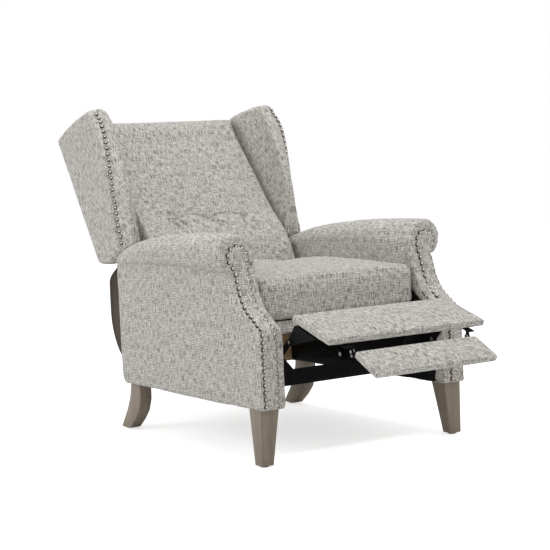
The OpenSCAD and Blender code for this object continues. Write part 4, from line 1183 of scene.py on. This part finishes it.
def polyline_distance(points, line):
    """Distance of flat points from a line, and how far along it they lie from 0 to 1."""
    best = np.full(len(points), 9.0)
    share = np.zeros(len(points))
    for k in range(len(line) - 1):
        a, b = np.array(line[k]), np.array(line[k + 1])
        t = np.clip((points - a) @ (b - a) / ((b - a) @ (b - a)), 0, 1)
        d = np.linalg.norm(points - (a + t[:, None] * (b - a)), axis=1)
        near = d < best
        best, share = np.where(near, d, best), np.where(near, (k + t) / (len(line) - 1), share)
    return best, share


def lowness(h):
    """How far down the cushion's spreading part a height lies, from 0 to 1."""
    return ease((SPREAD_TOP - np.asarray(h)) / SPREAD_HEIGHT)


def half_cushion(h):
    """Half the back cushion's width, which spreads towards the seat."""
    return HALF_CUSHION + SPREAD * lowness(h)


def back_form():
    """The back cushion between its front and rear grids, in the back's own frame."""
    back = chair().back
    even = np.linspace(-1, 1, 71)[None, :]
    s = 0.55 * np.sin(even * math.pi / 2) + 0.45 * even
    share = crowded(86, 0.4)[:, None]
    h = -BACK_DROP + CUSHION_HEIGHT * share
    half = half_cushion(h)
    edge_radius = EDGE_RADIUS - EDGE_SHARPER * lowness(h)
    body = (rounding(half * (1 - np.abs(s)) / edge_radius, 1)
            * rounding(CUSHION_HEIGHT * (1 - share), EDGE_RADIUS) * rounding(CUSHION_HEIGHT * share, 0.03))
    t = 2 * share - 1
    depth = back.depth * curve(LUMBAR_SHARES, share) + (back.crown - 0.004) * (1 - s ** 2) * (1 - t ** 2)
    slope = TOP_SLOPE * np.maximum(0, t)
    front = stack(half * s, FRAME_FRONT + EDGE_DEPTH + (depth - EDGE_DEPTH) * body, h + slope * (1 - body))
    rear = stack(half * s, FRAME_FRONT, h + slope)
    return closed_form(front, rear, 2)


class RECLINER_OT_back_cushion(bpy.types.Operator):
    """Fills the back cushion and sews its three tufts with their pleats"""
    bl_idname = "recliner.back_cushion"
    bl_label = "Back cushion"

    def execute(self, context):
        cushion = new_object("back_cushion_cover", *back_form(), back_tweed())
        x, f, h = coordinates(cushion).T
        edge = half_cushion(h) - np.abs(x)
        bound = np.where(f < FRAME_FRONT + 0.02, 1.0, 0.0)
        bound = np.maximum(bound, 0.6 * (edge < EDGE_DEPTH))
        for tuft in TUFTS:
            bound = np.maximum(bound, hill(np.hypot(x - tuft, h - TUFT_HEIGHT), 0.012))
        swell(cushion, bound, cap=0.011)
        finer(cushion, 2)
        co, way = coordinates(cushion), normals(cushion)
        fronts = np.clip(way[:, 1] * 2, 0, 1)
        press = self.press(co[:, 0], co[:, 2])
        lift = 0.0016 * waves(co, 0.12, 6.0) + 0.0006 * waves(co, 0.04, 8.0)
        place(cushion, from_back(co + way * ((lift - press) * fronts)[:, None]))
        dress(cushion, "back", ["back_cushion"])
        return {"FINISHED"}

    def press(self, x, h):
        """Depth to which the tufts, their pleats and the pulls between them press the cloth."""
        flat = np.column_stack([x, h])
        press = np.zeros(len(x))
        for tuft, folds in zip(TUFTS, PLEATS):
            away = np.hypot(x - tuft, (h - TUFT_HEIGHT) * np.where(h > TUFT_HEIGHT, 0.55, 1.0))
            press += chair().back.tuft_depth * (0.55 * hill(away, 0.034) + 0.45 * hill(away, 0.012))
            for fold in folds:
                line = [(tuft + a, TUFT_HEIGHT + b) for a, b in fold]
                distance, share = polyline_distance(flat, line)
                fade = np.minimum(1, (1 - share) * 2.2)
                press += PLEAT_DEPTH * hill(distance, PLEAT_WIDTH) * fade
                press -= PLEAT_SWELL * hill(distance - 0.010, 0.007) * fade
        for line in PULLS:
            distance, share = polyline_distance(flat, line)
            depth = PULL_DEPTH + PULL_DEEPER * np.abs(2 * share - 1)
            press += depth * hill(distance, PLEAT_WIDTH) + PULL_HOLLOW * hill(distance, 0.018)
        return press


# The outside back: half its width, its foot and thickness, its fill, and how its top edge rounds over
PANEL_HALF, PANEL_FOOT, PANEL_THICK = 0.262, -0.0353, 0.012
REAR_FILL, TOP_FILL, TOP_TURN = 0.004, 0.003, 0.010


class RECLINER_OT_outside_back(bpy.types.Operator):
    """Covers the rear of the back and finishes its frame"""
    bl_idname = "recliner.outside_back"
    bl_label = "Outside back"

    def execute(self, context):
        tall = BACK_HEIGHT - PANEL_FOOT
        s = np.linspace(-1, 1, 60)[None, :]
        run = np.linspace(0, tall + FRAME_FRONT, 70)[:, None]
        rear = run < tall
        f, h = np.where(rear, 0, run - tall), np.minimum(PANEL_FOOT + run, BACK_HEIGHT)
        corner = 0.3 * TOP_TURN * hill(run - tall, TOP_TURN)
        fill = (rounding(1 - np.abs(s), 0.10) * rounding(run / 0.06, 1)
                * rounding((run[-1] - run) / 0.05, 1))
        outer = stack(PANEL_HALF * s, f - np.where(rear, REAR_FILL, 0) * fill + corner,
                      h + np.where(rear, 0, TOP_FILL) * fill - corner)
        inner = stack(PANEL_HALF * s, np.maximum(f, PANEL_THICK), np.minimum(h, BACK_HEIGHT - PANEL_THICK))
        panel = new_object("outside_back_panel", *closed_form(outer, inner), back_tweed())
        place(panel, from_back(coordinates(panel)))
        dress(panel, "back", ["outside_back"])
        finish_node(timber(), "back_frame", "left_wing_frame", "right_wing_frame")
        return {"FINISHED"}


# Wings

# Depth from the wing's foot to its top, as shares of the depth that is set
FRONT_DEPTH_SHARES = (0.62, 0.75, 0.86, 0.925, 0.972, 0.99, 1, 0.955)
# Its foot and top from rear to front, as shares of the back's height
LOW_SHARES = (-0.093, -0.132, -0.168, -0.195, -0.205, -0.212, -0.212, -0.205)
TOP_SHARES = (1.084, 1.065, 1.044, 1.016, 0.986, 0.949, 0.909, 0.852)
# Its outer face, the flat rear of its inner face, and its inner rear corner
WING_OUT, WING_IN, WING_REAR_IN = 0.336, 0.2635, 0.266
# The inner face leaves room beside the cushion, from this far ahead of the rear face and over this run
CUSHION_ROOM, ROOM_FROM, ROOM_RUN = 0.0045, 0.0746, 0.030
# Its rounded front edge, and the line of its nails and how far they stand off
NOSE_IN, NOSE_OUT, NOSE_RADIUS = 0.281, 0.301, 0.016
NAIL_X, NAIL_STAND = 0.3255, 0.0032
# The outer face rounds over behind the nails, with a low ridge
OUTER_EDGE, RIDGE_HEIGHT, RIDGE_WIDTH = 0.012, 0.004, 0.022
# Where the nails run, as (height, forward) in the back's own frame
WING_NAILS = ((-0.075, 0.158), (-0.053, 0.166), (-0.030, 0.171), (0.0, 0.183), (0.033, 0.196),
              (0.080, 0.216), (0.115, 0.231), (0.154, 0.249), (0.190, 0.264), (0.225, 0.277),
              (0.267, 0.288), (0.300, 0.292), (0.330, 0.290), (0.352, 0.282))


def wing_height(u, v):
    """Height at shares of the wing's depth and height, and the whole height there."""
    low, top = BACK_HEIGHT * curve(LOW_SHARES, u), BACK_HEIGHT * curve(TOP_SHARES, u)
    return low + v * (top - low), top - low


def wing_inner(f, h):
    """Distance of the wing's inner face from the middle."""
    seam = half_cushion(h) + CUSHION_ROOM
    flat = WING_IN + (seam - WING_IN) * ease((f - ROOM_FROM) / ROOM_RUN)
    return flat + (NOSE_IN - flat) * ease((f / chair().back.wing_depth - 0.45) * 2.2)


def wing_outline(v):
    """The wing's section at a share of its height, as (across, forward) from its inner rear edge.

    On the inner face, across is left open."""
    front = chair().back.wing_depth * float(curve(FRONT_DEPTH_SHARES, v))
    middle = float(wing_height(0.8, v)[0])
    nails = min(float(line_at(WING_NAILS, middle)), front - 0.006)
    nose_f = front - NOSE_RADIUS
    inner = [(None, f) for f in np.linspace(0, nose_f, 44)]
    nose = [(NOSE_IN + (NOSE_OUT - NOSE_IN) * (1 - math.cos(a)), nose_f + NOSE_RADIUS * math.sin(a))
            for a in np.linspace(0, math.pi / 2, 9)[1:]]
    start, end = np.array(nose[-1]), np.array((NAIL_X, nails))
    pull = (start + end) / 2 + np.array((0.006, 0.10 * (front - nails)))
    band = [tuple((1 - k) ** 2 * start + 2 * k * (1 - k) * pull + k ** 2 * end)
            for k in np.linspace(0, 1, 16)[1:]]
    outer_f = np.concatenate([nails - np.linspace(0.003, 0.022, 7), np.linspace(nails - 0.03, 0.004, 30)])
    ridge = RIDGE_HEIGHT * hill(nails - outer_f - OUTER_EDGE, RIDGE_WIDTH)
    outer_x = NAIL_X + (WING_OUT - NAIL_X) * rounding(nails - outer_f, OUTER_EDGE) + ridge
    rear = [(WING_OUT - 0.004, 0.0), ((WING_OUT + PANEL_HALF) / 2, -0.001), (WING_REAR_IN, 0.0)]
    return front, inner + nose + band + list(zip(outer_x, outer_f)) + rear


def wing_rings():
    """Closed sections of the wing from its foot to its top, in the back's own frame."""
    rings = []
    for v in crowded(76, 0.45):
        front, outline = wing_outline(v)
        ring = []
        for x, f in outline:
            u = min(1, max(0, f / front))
            h, tall = wing_height(u, v)
            bare = float(wing_inner(f, h))
            x = bare if x is None else x
            centre = (bare + WING_OUT) / 2
            thin = float(min(rounding((1 - v) * tall, 0.024), rounding(v * tall, 0.016)))
            crown = 0.0025 * math.sin(math.pi * u) if x >= WING_OUT - 0.0001 else 0
            ring.append((centre + (x + crown - centre) * max(thin, 0.04), f, float(h)))
        rings.append(ring)
    return np.array(rings)


class RECLINER_OT_wings(bpy.types.Operator):
    """Pads the two wings and nails down their front edges"""
    bl_idname = "recliner.wings"
    bl_label = "Wings"

    def execute(self, context):
        rings = wing_rings()
        for name, side in SIDES.items():
            wing = new_object(name + "_wing_upholstery", *mirrored(loft(rings), side), back_tweed())
            co, way = coordinates(wing), normals(wing)
            lift = 0.0010 * waves(co, 0.13, 10 + side) + 0.0005 * waves(co, 0.04, 14 + side)
            place(wing, co + way * lift[:, None])
            finer(wing)
            spots, ways = self.nail_row(wing, side)
            place(wing, from_back(coordinates(wing)))
            dress(wing, "back", [name + "_wing"])
            nails = nail_heads(name + "_wing_nail_row", spots, ways, seed=21)
            dress(nails, "back", [name + "_wing_nails"])
        return {"FINISHED"}

    def nail_row(self, wing, side):
        """Places and directions of the nails on a wing that is still in the back's own frame."""
        heights = np.linspace(-0.064, 0.345, 60)
        row = np.column_stack([heights, line_at(WING_NAILS, heights)])
        spots, ways = [], []
        for h, f in spaced(row, chair().trim.nail_pitch):
            spot, way = wing.closest_point_on_mesh(Vector((side * NAIL_X, f + 0.004, h)))[1:3]
            forward = (way + Vector((0, 0.9, 0))).normalized()
            spots.append(spot + forward * NAIL_STAND)
            ways.append(forward)
        return from_back(np.array(spots)), from_back(np.array(ways)) - from_back(np.zeros(3))


# The lining: half its width, what its folds add to that, and how far above the arm's foot it ends
FLAP_HALF, FOLD_SHARE, FLAP_HEM = 0.29885, 1.006, 0.030
BIG_FOLD, SMALL_FOLD = 0.004, 0.0018
# How it hangs, as (share of the way to the rail, share of the fall), where minus is forward
HANG_SHARES = ((0, 0), (0.035, 0.14), (0.05, 0.36), (0.03, 0.56), (-0.12, 0.74), (-0.42, 0.89), (-1, 1))


class RECLINER_OT_flap(bpy.types.Operator):
    """Hangs the lining between the back's foot and the base"""
    bl_idname = "recliner.flap"
    bl_label = "Rear lining"

    def execute(self, context):
        top = from_back(np.array([0.0, 0.0, PANEL_FOOT]))[1:] - (0.0015, 0.001)
        fall, reach = top[1] - BASE_Z - FLAP_HEM, top[0] - ARM_REAR - 0.0003
        away, down = np.array(HANG_SHARES).T
        rows, columns = 60, 150
        v = np.linspace(0, 1, rows)[:, None]
        u = np.linspace(0, 1, columns)[None, :]
        y = top[0] + curve(away, v) * reach
        z = top[1] - curve(down, v) * fall
        fold = BIG_FOLD * np.cos(2 * math.pi * 5 * u) + SMALL_FOLD * np.sin(2 * math.pi * 13 * u + 2 * v)
        half = PANEL_HALF + (FLAP_HALF - PANEL_HALF) * ease(v / 0.2)
        grid = stack(half * (2 * u - 1), y + fold * np.sin(math.pi * v) + 0.0015, z)
        flap = new_object("rear_lining", grid.reshape(-1, 3), grid_faces(rows, columns), lining())
        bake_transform(flap)
        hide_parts("back_flap")
        return {"FINISHED"}


# Footrest

MAIN_WIDTH, MAIN_LENGTH = 0.510, 0.180
FLIPPER_WIDTH, FLIPPER_LENGTH = 0.393, 0.104
PAD_CROWN, PAD_EDGE, PAD_CELL = 0.005, 0.0068, 0.0050
# The two seams at each end, from the end, and the seam round the edge, from the top, with their depths
END_SEAMS, EDGE_SEAM = (0.0105, 0.0150), 0.012
END_SEAM_DEPTH, EDGE_SEAM_DEPTH = 0.0013, 0.0006


def rest_pad(name, width, length, to_row, lean, label, seed):
    """A thin boarded pad with its boxing seams, in its own frame."""
    thick = chair().pads.thickness
    size = np.array([width, length, thick - 0.0015])
    verts, faces = cushion_box(size - np.array([0, 0, 0.002]), PAD_EDGE, PAD_CELL)
    u, v, w = (verts / (size / 2)).T
    verts[:, 2] -= PAD_CROWN * (1 - u ** 2) * (1 - v ** 2) * np.clip(-w, 0, 1)
    pad = new_object(name, verts + np.array([0, length / 2, thick / 2 - 0.001]), faces, tweed(lean, label))
    swell(pad, np.clip(w * 3 + 1.2, 0, 1), cap=0.003, frames=12)
    finer(pad)
    co, way = coordinates(pad), normals(pad)
    ends, d = width / 2 - np.abs(co[:, 0]), co[:, 2]
    for at in END_SEAMS:
        co = seam_groove(co, way, ends - at, END_SEAM_DEPTH, 0.0014)
    across = np.hypot(d - EDGE_SEAM, np.maximum(0, 0.004 - ends))
    co = seam_groove(co, way, across, EDGE_SEAM_DEPTH, 0.002)
    co = co + way * (0.0007 * waves(co, 0.07, seed) * hill(d - 0.010, 0.010))[:, None]
    place(pad, to_row(co))
    return pad


class RECLINER_OT_footrest(bpy.types.Operator):
    """Pads the footrest and its flipper"""
    bl_idname = "recliner.footrest"
    bl_label = "Footrest"

    def execute(self, context):
        pads = chair().pads
        main = rest_pad("footrest_pad_cover", MAIN_WIDTH, MAIN_LENGTH, from_pad, -pads.tilt, "footrest",
                        seed=31.0)
        dress(main, "footrest", ["footrest_pad"])
        flipper = rest_pad("flipper_pad_cover", FLIPPER_WIDTH, FLIPPER_LENGTH, from_flipper,
                           -pads.tilt - pads.flipper_tilt, "flipper", seed=37.0)
        dress(flipper, "flipper", ["flipper_pad"])
        finish_node(timber(), "footrest_board", "flipper_board")
        return {"FINISHED"}


# Stage

FLOOR_HALF = 9
# Each lamp's name, place, target, diameter and share of the key's power
LAMPS = (("Key lamp", (-3.2, 0.7, 1.9), (0, 0, 0.5), 2.0, 1.0),
         ("Front lamp", (-0.6, -4.0, 2.4), (0, -0.1, 0.4), 1.4, 0.68),
         ("Top lamp", (0.2, -0.4, 3.8), (0, -0.1, 0.4), 2.4, 1.60))


def lamp(name, at, target, size, power):
    light = bpy.data.lights.new(name, "AREA")
    light.shape = "DISK"
    light.size = size
    light.energy = power
    made = bpy.data.objects.new(name, light)
    made.location = at
    made.rotation_euler = (Vector(target) - Vector(at)).to_track_quat("-Z", "Y").to_euler()
    bpy.context.scene.collection.objects.link(made)


class RECLINER_OT_stage(bpy.types.Operator):
    """Sets the floor, the lamps, the white surroundings and the camera"""
    bl_idname = "recliner.stage"
    bl_label = "Stage"

    def execute(self, context):
        stage, scene = chair().stage, context.scene
        corners = [(x * FLOOR_HALF, y * FLOOR_HALF, 0) for x, y in ((-1, -1), (1, -1), (1, 1), (-1, 1))]
        new_object("floor", corners, [(0, 1, 2, 3)], self.floor_material(), smooth=False)
        for name, at, target, size, share in LAMPS:
            lamp(name, at, target, size, stage.key_power * share)
        self.surroundings(stage.sky_level)
        scene.camera = self.camera(stage)
        scene.view_settings.view_transform = "Standard"
        return {"FINISHED"}

    def camera(self, stage):
        data = bpy.data.cameras.new("Camera")
        data.lens = stage.camera_lens
        data.sensor_width = 36
        data.sensor_fit = "HORIZONTAL"
        camera = bpy.data.objects.new("Camera", data)
        yaw, pitch, roll = stage.camera_yaw, stage.camera_pitch, stage.camera_roll
        ahead = Vector((math.sin(yaw) * math.cos(pitch), math.cos(yaw) * math.cos(pitch), math.sin(pitch)))
        right = Vector((math.cos(yaw), -math.sin(yaw), 0))
        up = right.cross(ahead)
        x = math.cos(roll) * right + math.sin(roll) * up
        y = -math.sin(roll) * right + math.cos(roll) * up
        turn = Matrix((x, y, -ahead)).transposed().to_4x4()
        camera.matrix_world = Matrix.Translation(stage.camera_place) @ turn
        bpy.context.scene.collection.objects.link(camera)
        return camera

    def floor_material(self):
        material = bpy.data.materials.new("Pale floor")
        material.use_nodes = True
        tree = material.node_tree
        surface = next(n for n in tree.nodes if n.type == "BSDF_PRINCIPLED")
        where = tree.nodes.new("ShaderNodeTexCoord").outputs["Object"]
        grain = speckle(tree, where, 6.0)
        tone = blend(tree, grain, (0.80, 0.80, 0.80, 1), (0.84, 0.84, 0.84, 1))
        tree.links.new(tone, surface.inputs["Base Color"])
        surface.inputs["Roughness"].default_value = 0.9
        seen = tree.nodes.new("ShaderNodeLightPath").outputs["Is Camera Ray"]
        surface.inputs["Emission Color"].default_value = (1, 1, 1, 1)
        tree.links.new(times(tree, seen, 0.60), surface.inputs["Emission Strength"])
        return material

    def surroundings(self, level):
        world = bpy.data.worlds.new("Studio")
        world.use_nodes = True
        tree = world.node_tree
        tree.nodes.clear()
        rays = tree.nodes.new("ShaderNodeLightPath").outputs
        bright = calc(tree, "MAXIMUM", rays["Is Camera Ray"], rays["Is Glossy Ray"])
        bright = calc(tree, "MAXIMUM", bright, rays["Is Transmission Ray"])
        sky = put(tree, "ShaderNodeBackground", {"Color": (1, 1, 1, 1),
                                                 "Strength": mix(tree, bright, level, 1.0)})
        out = tree.nodes.new("ShaderNodeOutputWorld")
        tree.links.new(sky.outputs[0], out.inputs["Surface"])
        bpy.context.scene.world = world


# Panel and registration

STEPS = (RECLINER_OT_arms, RECLINER_OT_facings, RECLINER_OT_legs, RECLINER_OT_base_rails,
         RECLINER_OT_mechanism, RECLINER_OT_seat_frame, RECLINER_OT_seat_cushion,
         RECLINER_OT_outside_back, RECLINER_OT_back_cushion, RECLINER_OT_wings, RECLINER_OT_flap,
         RECLINER_OT_footrest, RECLINER_OT_stage)
SETTINGS = (RECLINER_PG_cloth, RECLINER_PG_back, RECLINER_PG_pads, RECLINER_PG_trim, RECLINER_PG_stage,
            RECLINER_PG_chair)


class RECLINER_PT_sidebar(bpy.types.Panel):
    """Lists the chair's settings and building steps"""
    bl_idname = "RECLINER_PT_sidebar"
    bl_label = "Wingback recliner"
    bl_space_type = "VIEW_3D"
    bl_region_type = "UI"
    bl_category = "Recliner"

    def draw(self, context):
        for name in ("cloth", "back", "pads", "trim", "stage"):
            group = getattr(context.scene.recliner, name)
            box = self.layout.box()
            box.label(text=name.capitalize())
            for key in group.__annotations__:
                box.prop(group, key)
        for step in STEPS:
            self.layout.operator(step.bl_idname)


def register():
    for kind in SETTINGS + STEPS + (RECLINER_PT_sidebar,):
        bpy.utils.register_class(kind)
    bpy.types.Scene.recliner = bpy.props.PointerProperty(type=RECLINER_PG_chair)


def unregister():
    del bpy.types.Scene.recliner
    for kind in reversed(SETTINGS + STEPS + (RECLINER_PT_sidebar,)):
        bpy.utils.unregister_class(kind)


def main():
    register()
    for step in STEPS:
        group, name = step.bl_idname.split(".")
        getattr(getattr(bpy.ops, group), name)()
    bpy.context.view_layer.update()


if __name__ == "__main__":
    main()
